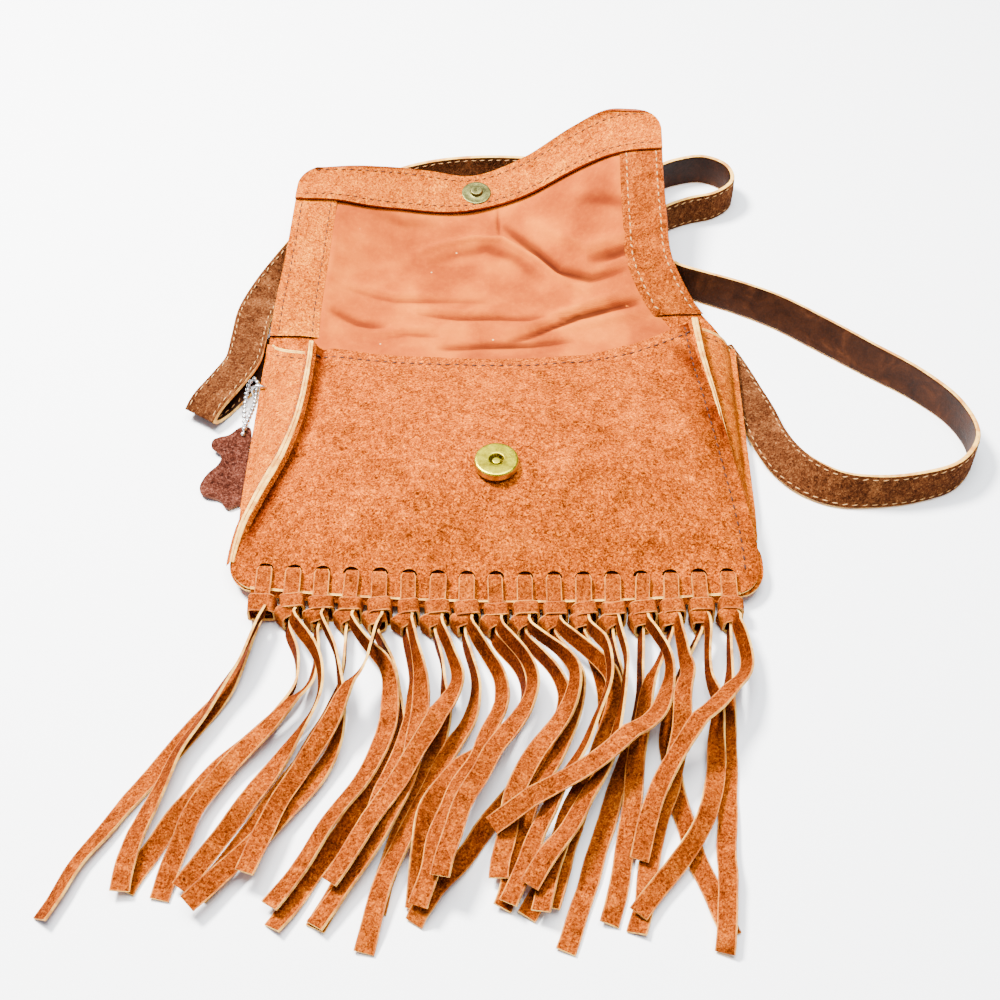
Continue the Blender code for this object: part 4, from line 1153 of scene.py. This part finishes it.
class BAG_OT_snap(bpy.types.Operator):
    """Makes the magnetic snap"""

    bl_idname = "bag.snap"
    bl_label = "Magnetic snap"

    def execute(self, context):
        brass = metal_finish("Antique brass", (0.55, 0.47, 0.006), (0.25, 0.19, 0.004), (0.72, 0.64, 0.015), 0.28)
        dark = metal_finish("Dark brass", (0.05, 0.035, 0.002), (0.02, 0.014, 0.001), (0.09, 0.07, 0.006), 0.42)
        x, y = SOCKET_CENTRE
        place = (x, y, float(front_height(x, y)) + 0.3), (0, 0, 1)
        case = [(0, 1.3), (2.9, 1.3), (2.95, 2.9)] + arc((3.4, 3.15), 0.45, 180, 90) + [(5.2, 3.55), (7.6, 3.62)]
        case += arc((8.1, 2.75), 0.85, 90, 0) + [(8.98, 0.35)] + arc((8.65, 0.3), 0.33, 0, -90) + [(0, 0)]
        part_of_bag(turned("socket", case, *place, brass), "brass", "snap_socket")
        stem = [(0, 1.3), (1.75, 1.3), (1.75, 2.2)] + arc((1.35, 2.2), 0.4, 0, 90) + [(0, 2.62)]
        part_of_bag(turned("socket_stem", stem, *place, brass, 32), "brass")
        part_of_bag(turned("socket_well", [(0, 1.32), (2.88, 1.32)], *place, dark, 32), "brass")
        washer = frame["nodes"]["snap_socket_washer"].data.materials
        washer.clear()
        washer.append(finishes("Nickel plate")[0])
        s, t = STUD_PLACE
        share = (t - float(end_band_edge(np.array([s]))[0])) / (1 - BAND_START)
        point, normal = (row[0] for row in normals_on(end_band_surface, np.array([s]), np.array([share])))
        disc = [(0, 0), (7.0, 0)] + arc((6.95, 0.3), 0.3, -90, 90) + [(6.2, 0.55), (3.3, 0.5)]
        disc += arc((3.3, 0.8), 0.3, 270, 180, 3) + [(2.95, 1.9)] + arc((2.45, 1.95), 0.5, 0, 90)
        disc += [(1.1, 2.5), (0.7, 2.2), (0, 2.2)]
        worn = metal_finish("Worn brass", (0.2, 0.19, 0.06), (0.1, 0.09, 0.03), (0.38, 0.36, 0.13), 0.33)
        part_of_bag(turned("stud", disc, point + normal * (BAND + 0.15), normal, worn), "brass", "snap_stud")
        return {"FINISHED"}


# ---- fringe

# Each strip's two tails: how far the end lies to the right, an early kick to the right, the bow of its
# middle to the right, and how far the tail reaches from its knot.
TAILS = (
    ((-60, 7, -2, 128), (-36, 5, -8, 118)),
    ((-44, 16, 0, 116), (-27, 12, 12, 116)),
    ((-44, 15, -7, 118), (-35, 4, 22, 122)),
    ((-42, 3, 9, 116), (-19, 10, 17, 121)),
    ((-27, 8, 15, 127), (-40, 6, -2, 110)),
    ((-24, 4, 10, 126), (-26, 0, 17, 126)),
    ((-16, 6, 5, 120), (-34, 8, 10, 112)),
    ((-30, 12, 0, 134), (-14, 14, 4, 120)),
    ((-25, 24, -8, 118), (-18, 16, 2, 112)),
    ((-36, 16, 13, 123), (-10, 20, 0, 108)),
    ((-18, 14, 1, 118), (-8, 16, 8, 121)),
    ((-21, 6, 11, 121), (-30, 10, 6, 118)),
    ((-25, 6, 2, 119), (-34, 2, 12, 114)),
    ((-31, 3, 3, 134), (-58, 0, 30, 92)),
    ((-27, -3, -1, 125), (-21, 4, 3, 128)),
    ((2, -3, -14, 129), (-31, -6, 19, 123)),
    ((-12, 0, 0, 136), (-42, 15, -5, 104)),
)
TAIL_STEM = 5.6
TAIL_STEPS = 64
HEAP_CORNER = np.array((-190.0, -260.0))
HEAP_SIZE = (330, 220)
HEAP_CELL = 0.5
HIGHEST_START = 6.0
BELT_COLUMNS = 40
LOOP_COLUMNS = 14
TAIL_COLUMNS = 16
HIDE_OF_STRIPS = 0.95


def tail_plan(start, sway, kick, bow, reach, seed):
    """The middle line of one tail in plan, from its knot to its end."""
    u = np.linspace(0, 1, TAIL_STEPS)
    side = sway * u + kick * 25 * u**1.5 * (1 - u) ** 4 + bow * np.sin(math.pi * u)
    side = side + 1.3 * waves(u[:, None] * reach, 55, seed, 2) * ease(u * 4)
    rows = np.stack([start[0] + side, start[1] - TAIL_STEM - (reach - TAIL_STEM) * u], axis=1)
    rows = np.vstack([[start], rows])
    flat = np.hstack([rows, np.zeros((len(rows), 1))])
    return resampled(flat, line_lengths(flat)[-1] / TAIL_STEPS)[:, :2]


class Heap:
    """The height of what lies on the ground already, on a fine square grid."""

    def __init__(self):
        self.top = np.zeros([int(side / HEAP_CELL) for side in HEAP_SIZE])

    def squares(self, centre, ahead, beside, length, width):
        forward = np.arange(-length, length + 0.1, 0.4)
        across = np.arange(-width, width + 0.1, 0.4)
        points = centre + forward[:, None, None] * ahead + across[None, :, None] * beside
        index = np.round((points - HEAP_CORNER) / HEAP_CELL).astype(int)
        return tuple(np.clip(index[..., axis], 0, self.top.shape[axis] - 1) for axis in (0, 1))


def lay_tail(heap, plan, twist, start_height):
    """Lays a tail on the heap. twist is its lean from flat at each point. Gives its centres and its unit directions
    across.
    """
    ahead = unit(np.gradient(plan, axis=0))
    beside = np.stack([-ahead[:, 1], ahead[:, 0]], axis=1)
    step = line_lengths(np.hstack([plan, np.zeros((len(plan), 1))]))[1]
    half, thin = STRIP_WIDTH / 2, STRIP_THICKNESS / 2
    tall = half * np.abs(np.sin(twist)) + thin * np.abs(np.cos(twist))
    wide = half * np.abs(np.cos(twist)) + thin * np.abs(np.sin(twist))
    low = np.zeros(len(plan))
    for i in range(len(plan)):
        low[i] = heap.top[heap.squares(plan[i], ahead[i], beside[i], step, wide[i] + 0.15)].max() + 0.12 + tall[i]
    low[:3] = np.clip(low[:3], start_height, HIGHEST_START)
    height = low.copy()
    for _ in range(60):
        middle = 0.5 * height[1:-1] + 0.25 * (height[:-2] + height[2:])
        height[1:-1] = np.maximum(low[1:-1], middle)
    for i in range(len(plan)):
        where = heap.squares(plan[i], ahead[i], beside[i], step / 2, wide[i])
        np.maximum.at(heap.top, where, height[i] + tall[i])
    centres = np.hstack([plan, height[:, None]])
    slope = unit(np.gradient(centres, axis=0))
    level = np.hstack([beside, np.zeros((len(plan), 1))])
    up = np.cross(slope, level)
    up *= np.sign(up[:, 2:3])
    across = level * np.cos(twist)[:, None] + up * np.sin(twist)[:, None]
    return centres, across


def strip_loop(x, edge, seed):
    """The strip's loop: out of the knot, up over the front, into the slot and back under the back panel."""
    slot = edge + SLOT_ABOVE_EDGE
    over = STRIP_THICKNESS / 2 + 0.1
    under = 2 * SUEDE + 0.75 + STRIP_THICKNESS / 2
    top = float(front_height(x, slot))

    def above(y):
        return float(front_height(x, y)) + over

    points = [
        (edge - 7, 5.6), (edge - 4, 6.8), (edge - 1.5, above(edge) + 0.7), (edge + 2, above(edge + 2) + 0.8),
        (edge + 6, above(edge + 6) + 0.9), (slot - 2.4, above(slot - 2.4) + 0.8), (slot - 0.7, top + 0.45),
        (slot - 0.1, top - 1.4), (slot - 0.3, top - under + 1.4), (slot - 1.4, top - under),
        (edge + 5, above(edge + 5) - over - under), (edge, float(front_height(x, edge)) - under - 0.1),
        (edge - 3, 2.4), (edge - 7, 2.2),
    ]
    rng = np.random.default_rng(seed)
    lean = rng.normal(0, 0.25)
    rows = [(x + lean * (y - edge) / 8, y, z) for y, z in points]
    path = smooth_path(rows, 0.8)
    half = 3.15 * (1 + 0.03 * rng.normal()) * lerp(1, 0.72, ease((path[:, 1] - slot + 2.6) / 2.4))
    return path, np.outer(half, (1.0, 0.0, 0.0))


def belt_mesh(name, centre, size, length, turn, taper, seed, close=0.0):
    """One turn of the strip round the knot: a closed band, tilted in plan by turn and narrower at its lower end."""
    rng = np.random.default_rng(seed)
    rough = rng.uniform(0, math.tau, 3)
    rows = np.array((0.0, 0.07, 0.3, 0.5, 0.7, 0.93, 1.0))

    def surface(s, t):
        t = np.interp(t, np.linspace(0, 1, len(rows)), rows)
        angle = s * math.tau
        cosine, sine = np.cos(angle), np.sin(angle)
        narrow = 1 - taper * t
        x = size[0] / 2 * np.sign(cosine) * np.abs(cosine) ** 0.32 * narrow
        z = size[1] / 2 * np.sign(sine) * np.abs(sine) ** 0.36 * lerp(1, narrow, 0.6) * (1 - close * t * t)
        bulge = (0.5 * np.sin(math.pi * t) + 0.35 * (x / size[0]) * math.sin(rough[2])) * np.maximum(sine, 0)
        y = length * (0.5 - t) + 0.3 * np.sin(2 * angle + rough[0]) + 0.2 * np.sin(3 * angle + rough[1])
        turned_x = x * math.cos(turn) - y * math.sin(turn)
        turned_y = x * math.sin(turn) + y * math.cos(turn)
        return centre[0] + turned_x, centre[1] + turned_y, centre[2] + z + bulge

    return grid_mesh(name, surface, BELT_COLUMNS, len(rows) - 1, (40, length))


def strip_part(mesh, columns, across):
    """One part of a strip. The outermost faces, along its two cut edges, have the worn edge's finish."""
    part = new_object("part", mesh, *finishes("Fringe suede", "Cut edge", "Worn edge", "Cut edge"))
    rows = len(mesh.polygons) // columns
    for face in mesh.polygons:
        place = face.index % columns if across else face.index // columns
        face.material_index = 2 if place in (0, (columns if across else rows) - 1) else 0
    return part


def knot_meshes(number, x, edge):
    """The two turns of a knot: a wide upper one and a skewed lower one that the tails come out of."""
    rng = np.random.default_rng(number + 50)
    middle = edge - KNOT_BELOW_EDGE + 0.4
    if number == 0:
        return [belt_mesh("upper", (x, middle, 5.0), (10.0, 9.4), 6.8, math.radians(2), 0.0, number, 0.35)]
    skew = rng.uniform(0.7, 1.2) if number < 13 else rng.uniform(0.1, 0.5)
    upper = belt_mesh("upper", (x + 0.5, middle + 1.9, 4.9), (8.9 + rng.normal(0, 0.4), 9.6 + rng.normal(0, 0.3)),
                      5.9 + rng.normal(0, 0.3), math.radians(9 * skew + rng.normal(0, 3)), 0.02, number)
    lower = belt_mesh("lower", (x - 1.0 * skew, middle - 2.5, 4.5), (8.3 + rng.normal(0, 0.4), 8.4), 5.6,
                      math.radians(31 * skew + rng.normal(0, 5)), 0.2, number + 20, 0.22)
    return [upper, lower]


class BAG_OT_fringe(bpy.types.Operator):
    """Makes the seventeen knotted strips of the fringe"""

    bl_idname = "bag.fringe"
    bl_label = "Fringe"

    def execute(self, context):
        heap = Heap()
        tails = {}
        for turn in (0, 1):
            for number in range(STRIP_COUNT):
                x, edge = slot_place(number)
                seed = number * 2 + turn
                rng = np.random.default_rng(900 + seed)
                start = (x + (1.5 if turn else -0.6), edge - KNOT_BELOW_EDGE - 0.5)
                plan = tail_plan(start, *TAILS[number][turn], seed)
                u = np.linspace(0, 1, len(plan))
                on_edge = math.radians(rng.uniform(66, 86)) * (1 - ease((u - 0.12) / rng.uniform(0.3, 0.8)))
                flat = math.radians(rng.uniform(14, 38)) * np.sin(u * rng.uniform(2.5, 7) + rng.uniform(0, 6))
                twist = on_edge + flat * ease(u * 2)
                tails[number, turn] = lay_tail(heap, plan, twist, 4.8 if turn else 3.6)
        for number in range(STRIP_COUNT):
            x, edge = slot_place(number)
            parts = [strip_part(mesh, BELT_COLUMNS, across=False) for mesh in knot_meshes(number, x, edge)]
            loop = ribbon_mesh("loop", *strip_loop(x, edge, number), LOOP_COLUMNS)
            parts.append(strip_part(loop, LOOP_COLUMNS, across=True))
            for turn in (0, 1):
                centres, across = tails[number, turn]
                wavy = 1 + 0.05 * waves(centres, 14, number * 7 + turn, 2)
                wavy *= lerp(0.72, 1, ease(np.arange(len(centres)) / 7))
                tail = ribbon_mesh("tail", centres, across * STRIP_WIDTH / 2 * wavy[:, None], TAIL_COLUMNS)
                parts.append(strip_part(tail, TAIL_COLUMNS, across=True))
                # Painted shade: each tail's faces are darkened the more they stand on edge
                attribute(parts[-1], "handled", np.repeat(np.abs(across[:, 2]) ** 1.5, TAIL_COLUMNS + 1))
            made = thicken(joined(f"strip_{number + 1:02d}", parts), HIDE_OF_STRIPS, 0)
            part_of_bag(shade(baked(made), 50), "orange_suede", f"fringe_{number + 1:02d}")
        return {"FINISHED"}


# ---- strap

STRAP_STEP = 3.0
STRAP_PITCH = 4.2
STRAP_STITCH = 2.7
STRAP_COLUMNS = 10
TURNED_OVER_X = 20
# The strap's route: x, y, how far it is off the ground and its lean, 0 and 180 flat and 90 standing on edge
STRAP_ROUTE = (
    (-100, 70, 0.3, 0), (-106, 61, 0.3, 0), (-113, 50, 0.3, 0), (-120, 38, 0.3, 0), (-127, 27, 0.7, 0),
    (-131, 20.5, 3.9, 0), (-128, 25.5, 7.3, 0), (-122, 37, 7.8, 0), (-116, 51, 7.6, 0), (-115, 66, 6.4, 6),
    (-114.5, 84, 4.2, 12), (-110.5, 101, 2.0, 18), (-103.5, 118, 0.8, 30), (-94, 136, 0.5, 48),
    (-82, 155, 0.4, 68), (-67, 171, 0.4, 84), (-49, 184, 0.4, 90), (-30, 190.5, 0.4, 90), (-8, 193, 0.4, 90),
    (14, 192, 0.4, 90), (34, 187, 0.4, 90), (54, 182, 0.4, 90), (72, 184, 0.4, 90), (87, 192, 0.4, 90),
    (101, 195, 0.4, 90), (112, 188, 0.4, 90), (114, 176, 0.4, 90), (105, 166, 0.4, 90), (91, 161, 0.4, 90),
    (78, 153, 0.4, 90), (71, 140, 0.4, 90), (72, 124, 0.4, 88), (81, 112, 0.4, 84), (94, 105, 0.4, 78),
    (110, 98, 0.4, 74), (128, 88, 0.4, 70), (147, 73, 0.4, 70), (166, 57, 0.4, 74), (185, 41, 0.4, 80),
    (199, 23, 0.4, 86), (203, 4, 0.4, 90), (193, -12, 0.4, 94), (175, -19.5, 0.4, 98), (157, -22, 0.4, 102),
    (142, -20.5, 0.4, 112), (130, -13, 0.4, 128), (122, -2, 0.4, 146), (117, 12, 0.4, 164),
    (113.5, 28, 0.3, 174), (109, 43, 0.3, 180), (104, 57, 0.3, 180), (99, 69, 0.3, 180),
)


def strap_frames():
    """Centres, half widths and normals along the strap."""
    rows = smooth_path(STRAP_ROUTE, STRAP_STEP)
    lean = np.radians(rows[:, 3])
    z = rows[:, 2] + np.abs(np.sin(lean)) * STRAP_WIDTH / 2 + np.abs(np.cos(lean)) * STRAP_THICKNESS / 2
    centres = np.column_stack([rows[:, 0], rows[:, 1], z])
    ahead = unit(np.gradient(centres, axis=0))
    across, normals = [], []
    last = np.cross((0, 0, 1), ahead[0])
    for direction, angle in zip(ahead, lean):
        level = np.cross((0, 0, 1), direction)
        length = np.linalg.norm(level)
        level = level / length if length > 0.2 else last
        if level @ last < 0:
            level = -level
        last = level
        up = np.cross(direction, level)
        wide = level * math.cos(angle) + up * math.sin(angle)
        across.append(wide * STRAP_WIDTH / 2)
        normals.append(np.cross(direction, wide))
    return centres, np.array(across), np.array(normals)


class BAG_OT_strap(bpy.types.Operator):
    """Makes the shoulder strap and its stitches"""

    bl_idname = "bag.strap"
    bl_label = "Shoulder strap"

    def execute(self, context):
        centres, across, normals = strap_frames()
        leather = smooth_leather_finish((0.026, 0.007, 0.002), (0.009, 0.0026, 0.001), (0.07, 0.02, 0.006))
        rough = suede_finish("Strap suede", (0.055, 0.0145, 0.004), (0.015, 0.0035, 0.001), (0.17, 0.055, 0.015),
                             patch=12.0, speckle=0.35, nap=0.7)
        ribbon = ribbon_mesh("strap", centres, across, STRAP_COLUMNS, 0.25, normals)
        made = new_object("strap", ribbon, rough, leather, rough, *finishes("Cut edge", "Cut edge"))
        for face in ribbon.polygons:
            face.material_index = int(centres[face.index // STRAP_COLUMNS, 0] > TURNED_OVER_X)
        thicken(made, STRAP_THICKNESS - 0.4, 0, rim=3)
        made.modifiers["Thickness"].material_offset = 1
        edge = made.modifiers.new("Worn edge", "BEVEL")
        edge.width = 0.35 * MM
        edge.segments = 2
        edge.limit_method = "ANGLE"
        edge.angle_limit = math.radians(60)
        part_of_bag(shade(baked(made), 60), "strap_leather", "shoulder_strap")
        beads = []
        for face in (-1, 1):
            for side in (-1, 1):
                line = centres + across * side * 0.8 + normals * face * (STRAP_THICKNESS - 0.2) / 2
                row = stitch_row(line, normals * face, STRAP_PITCH, STRAP_STITCH, 0.5, 0.25, 3)
                beads += [bead for bead in row if face > 0 or bead[0][0] < TURNED_OVER_X]
        thread = part_of_bag(stitches("stitches_strap", beads, "Light thread"), "strap_leather")
        return {"FINISHED"}


# ---- tag, chain and ring

TAG_OUTLINE = (
    (-112.6, 14), (-117, 9.5), (-123.5, 6.5), (-124, 3.5), (-119.5, 0), (-120.5, -6), (-124, -12), (-126, -19),
    (-124, -23), (-117, -25), (-113, -29.5), (-108, -27.5), (-101, -26), (-98, -17), (-99.5, -9), (-97.5, -4),
    (-103, -1), (-107.6, 1), (-107.4, 8), (-108.5, 14),
)
TAG_THICKNESS = 1.2
TAG_SQUARES = 1.6
BALL_PITCH = 2.55
BALL_RADIUS = 1.08
CHAIN_WIRE_RADIUS = 0.32
RING_WIRE_RADIUS = 0.6
CHAIN_ROUTE = (
    (-108.6, 41.5, 5.0), (-108.3, 36, 4.9), (-108.2, 28, 5.2), (-109.2, 19, 6.2), (-110.4, 12.5, 6.6),
    (-110.8, 8.9, 5.4), (-110.8, 8.3, 3.4), (-110.9, 10, 1.5), (-111.4, 15, 1.6), (-112.2, 22, 2.9),
    (-112.6, 30, 4.3), (-112.4, 37, 4.9), (-111.6, 42, 5.0), (-110.2, 43.6, 5.0),
)


class BAG_OT_tag(bpy.types.Operator):
    """Makes the plain hide-shaped tag, its ball chain and its ring"""

    bl_idname = "bag.tag"
    bl_label = "Tag, chain and ring"

    def execute(self, context):
        hide = suede_finish("Tag suede", (0.045, 0.0105, 0.005), (0.012, 0.0025, 0.0015), (0.15, 0.045, 0.027),
                            patch=7.0, speckle=0.45, sheen=0.2)
        edge = edge_finish("Tag edge", (0.14, 0.045, 0.022), (0.06, 0.015, 0.007))
        rim = smooth_path([(x, y, 0) for x, y in TAG_OUTLINE], 1.2, closed=True)[:-1]
        bm = bmesh.new()
        bm.faces.new([bm.verts.new(point) for point in rim])
        for normal, low, high in (((1, 0, 0), -126, -98), ((0, 1, 0), -29, 13)):
            for place in np.arange(low, high, TAG_SQUARES):
                bmesh.ops.bisect_plane(bm, geom=bm.verts[:] + bm.edges[:] + bm.faces[:],
                                       plane_co=Vector(normal) * place, plane_no=normal)
        points = np.array([vertex.co for vertex in bm.verts])
        z = 0.3 + 2.9 * ease((points[:, 1] + 1) / 9) + 0.5 + 0.5 * waves(points[:, :2], 17, 77, 2)
        z += 0.9 * ease((-points[:, 0] - 116) / 9)
        for vertex, height in zip(bm.verts, z):
            vertex.co.z = height
        bmesh.ops.recalc_face_normals(bm, faces=bm.faces)
        if sum(face.normal.z for face in bm.faces) < 0:
            bmesh.ops.reverse_faces(bm, faces=bm.faces)
        made = thicken(new_object("tag", mesh_of(bm, "tag", in_mm=True), hide, edge), TAG_THICKNESS, 1)
        part_of_bag(shade(baked(made), 50), "tag_suede", "hide_tag")
        nickel = finishes("Nickel plate")[0]
        path = smooth_path(CHAIN_ROUTE, BALL_PITCH, closed=True)[:-1]
        bm = bmesh.new()
        for point in path:
            ball = bmesh.ops.create_uvsphere(bm, u_segments=12, v_segments=8, radius=BALL_RADIUS)
            bmesh.ops.translate(bm, vec=point, verts=ball["verts"])
        balls = new_object("chain_balls", mesh_of(bm, "chain_balls", in_mm=True), nickel)
        part_of_bag(shade(balls, 180), "steel", "ball_chain")
        wire = bpy.data.curves.new("chain_wire", "CURVE")
        wire.dimensions = "3D"
        wire.bevel_depth = CHAIN_WIRE_RADIUS * MM
        wire.bevel_resolution = 2
        spline = wire.splines.new("POLY")
        spline.points.add(len(path) - 1)
        for spot, point in zip(spline.points, path):
            spot.co = (*(point * MM), 1)
        spline.use_cyclic_u = True
        part_of_bag(new_object("chain_wire", wire, nickel), "steel")
        low, high = (Vector(corner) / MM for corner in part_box("chain_ring"))
        centre = (low + high) / 2
        radius = (high.x - low.x) / 2 - RING_WIRE_RADIUS
        section = arc((radius, 0), RING_WIRE_RADIUS, 0, 360, 12)
        part_of_bag(turned("ring", section, centre, (0, 1, 0), nickel, degrees=180), "steel", "chain_ring")
        return {"FINISHED"}


# ---- the stage, in metres

FLOOR_HALF = 6.0
# Each lamp's name, place, diameter, power in watts and colour
LAMPS = (
    ("key", (-0.5, 0.3, 1.0), 0.3, 82.0, (1.0, 0.985, 0.96)),
    ("overhead", (0.1, 0.1, 1.5), 1.2, 64.0, (0.95, 0.975, 1.0)),
)
LIT_POINT = (0, 0.03, 0)
CAMERA_PLACE = (0.0065, -0.426, 0.475)
CAMERA_TURN = (40.4, 0, 0.8)


class BAG_OT_stage(bpy.types.Operator):
    """Makes the floor, the lights and the camera"""

    bl_idname = "bag.stage"
    bl_label = "Floor, lights and camera"

    def execute(self, context):
        bm = bmesh.new()
        bmesh.ops.create_grid(bm, x_segments=2, y_segments=2, size=FLOOR_HALF)
        floor = new_object("floor", mesh_of(bm, "floor"), floor_finish())
        world = bpy.data.worlds.new("Studio")
        world.use_nodes = True
        sky = world.node_tree.nodes["Background"].inputs
        sky["Color"].default_value = (0.72, 0.85, 1.0, 1)
        sky["Strength"].default_value = 0.42
        context.scene.world = world
        for name, place, size, power, colour in LAMPS:
            data = bpy.data.lights.new(name, "AREA")
            data.shape = "DISK"
            data.size = size
            data.energy = power
            data.color = colour
            lamp = bpy.data.objects.new(name, data)
            lamp.location = place
            lamp.rotation_euler = (Vector(LIT_POINT) - Vector(place)).to_track_quat("-Z", "Y").to_euler()
            context.scene.collection.objects.link(lamp)
        data = bpy.data.cameras.new("camera")
        data.sensor_width = 36.0
        data.lens = context.scene.bag_sizes.lens
        data.clip_start = 0.01
        camera = bpy.data.objects.new("camera", data)
        camera.location = CAMERA_PLACE
        camera.rotation_euler = [math.radians(turn) for turn in CAMERA_TURN]
        context.scene.collection.objects.link(camera)
        context.scene.camera = camera
        return {"FINISHED"}


class BagSizes(bpy.types.PropertyGroup):
    """Sizes that a maker would change"""

    stitch_pitch: FloatProperty(name="Stitch pitch", description="From one stitch to the next, mm", default=3.9)
    stitch_length: FloatProperty(name="Stitch length", description="Length of a stitch, mm", default=2.7)
    lens: FloatProperty(name="Lens", description="Focal length of the camera, mm", default=53.28)


class BagColours(bpy.types.PropertyGroup):
    """Colours that a maker would change"""

    suede: FloatVectorProperty(name="Suede", description="Body of the suede", subtype="COLOR",
                               default=(0.262, 0.042, 0.0004))
    suede_dark: FloatVectorProperty(name="Suede dark", description="Nap brushed away from the light",
                                    subtype="COLOR", default=(0.04, 0.005, 0.0004))
    suede_light: FloatVectorProperty(name="Suede light", description="Nap brushed to the light",
                                     subtype="COLOR", default=(0.63, 0.13, 0.0015))
    band: FloatVectorProperty(name="Bands", description="Suede of the flap's bands", subtype="COLOR",
                              default=(0.345, 0.064, 0.0004))
    cotton: FloatVectorProperty(name="Lining", description="Cotton of the lining", subtype="COLOR",
                                default=(0.345, 0.060, 0.0006))
    cut_edge: FloatVectorProperty(name="Cut edge", description="Core of the hide at a cut", subtype="COLOR",
                                  default=(0.8, 0.45, 0.09))


PIECES = (
    "stage", "front_panel", "back_panel", "gussets", "flap_bands", "lining", "raw_seams", "seams", "snap", "fringe",
    "strap", "tag",
)


class BAG_PT_pieces(bpy.types.Panel):
    """Lists the pieces of the bag"""

    bl_label = "Fringed bag"
    bl_idname = "BAG_PT_pieces"
    bl_space_type = "VIEW_3D"
    bl_region_type = "UI"
    bl_category = "Bag"

    def draw(self, context):
        for piece in PIECES:
            self.layout.operator("bag." + piece)
        for settings in (context.scene.bag_sizes, context.scene.bag_colours):
            for name in settings.bl_rna.properties.keys():
                if name not in ("rna_type", "name"):
                    self.layout.prop(settings, name)


CLASSES = (
    BagSizes, BagColours, BAG_OT_stage, BAG_OT_front_panel, BAG_OT_back_panel, BAG_OT_gussets, BAG_OT_flap_bands,
    BAG_OT_lining, BAG_OT_raw_seams, BAG_OT_seams, BAG_OT_snap, BAG_OT_fringe, BAG_OT_strap, BAG_OT_tag, BAG_PT_pieces,
)


def register():
    for made in CLASSES:
        bpy.utils.register_class(made)
    bpy.types.Scene.bag_sizes = PointerProperty(type=BagSizes)
    bpy.types.Scene.bag_colours = PointerProperty(type=BagColours)


def unregister():
    del bpy.types.Scene.bag_colours
    del bpy.types.Scene.bag_sizes
    for made in reversed(CLASSES):
        bpy.utils.unregister_class(made)


def main():
    register()
    for thing in [o for o in bpy.data.objects if o.name in ("Cube", "Light", "Camera")]:
        bpy.data.objects.remove(thing)
    for piece in PIECES:
        getattr(bpy.ops.bag, piece)()


if __name__ == "__main__":
    main()
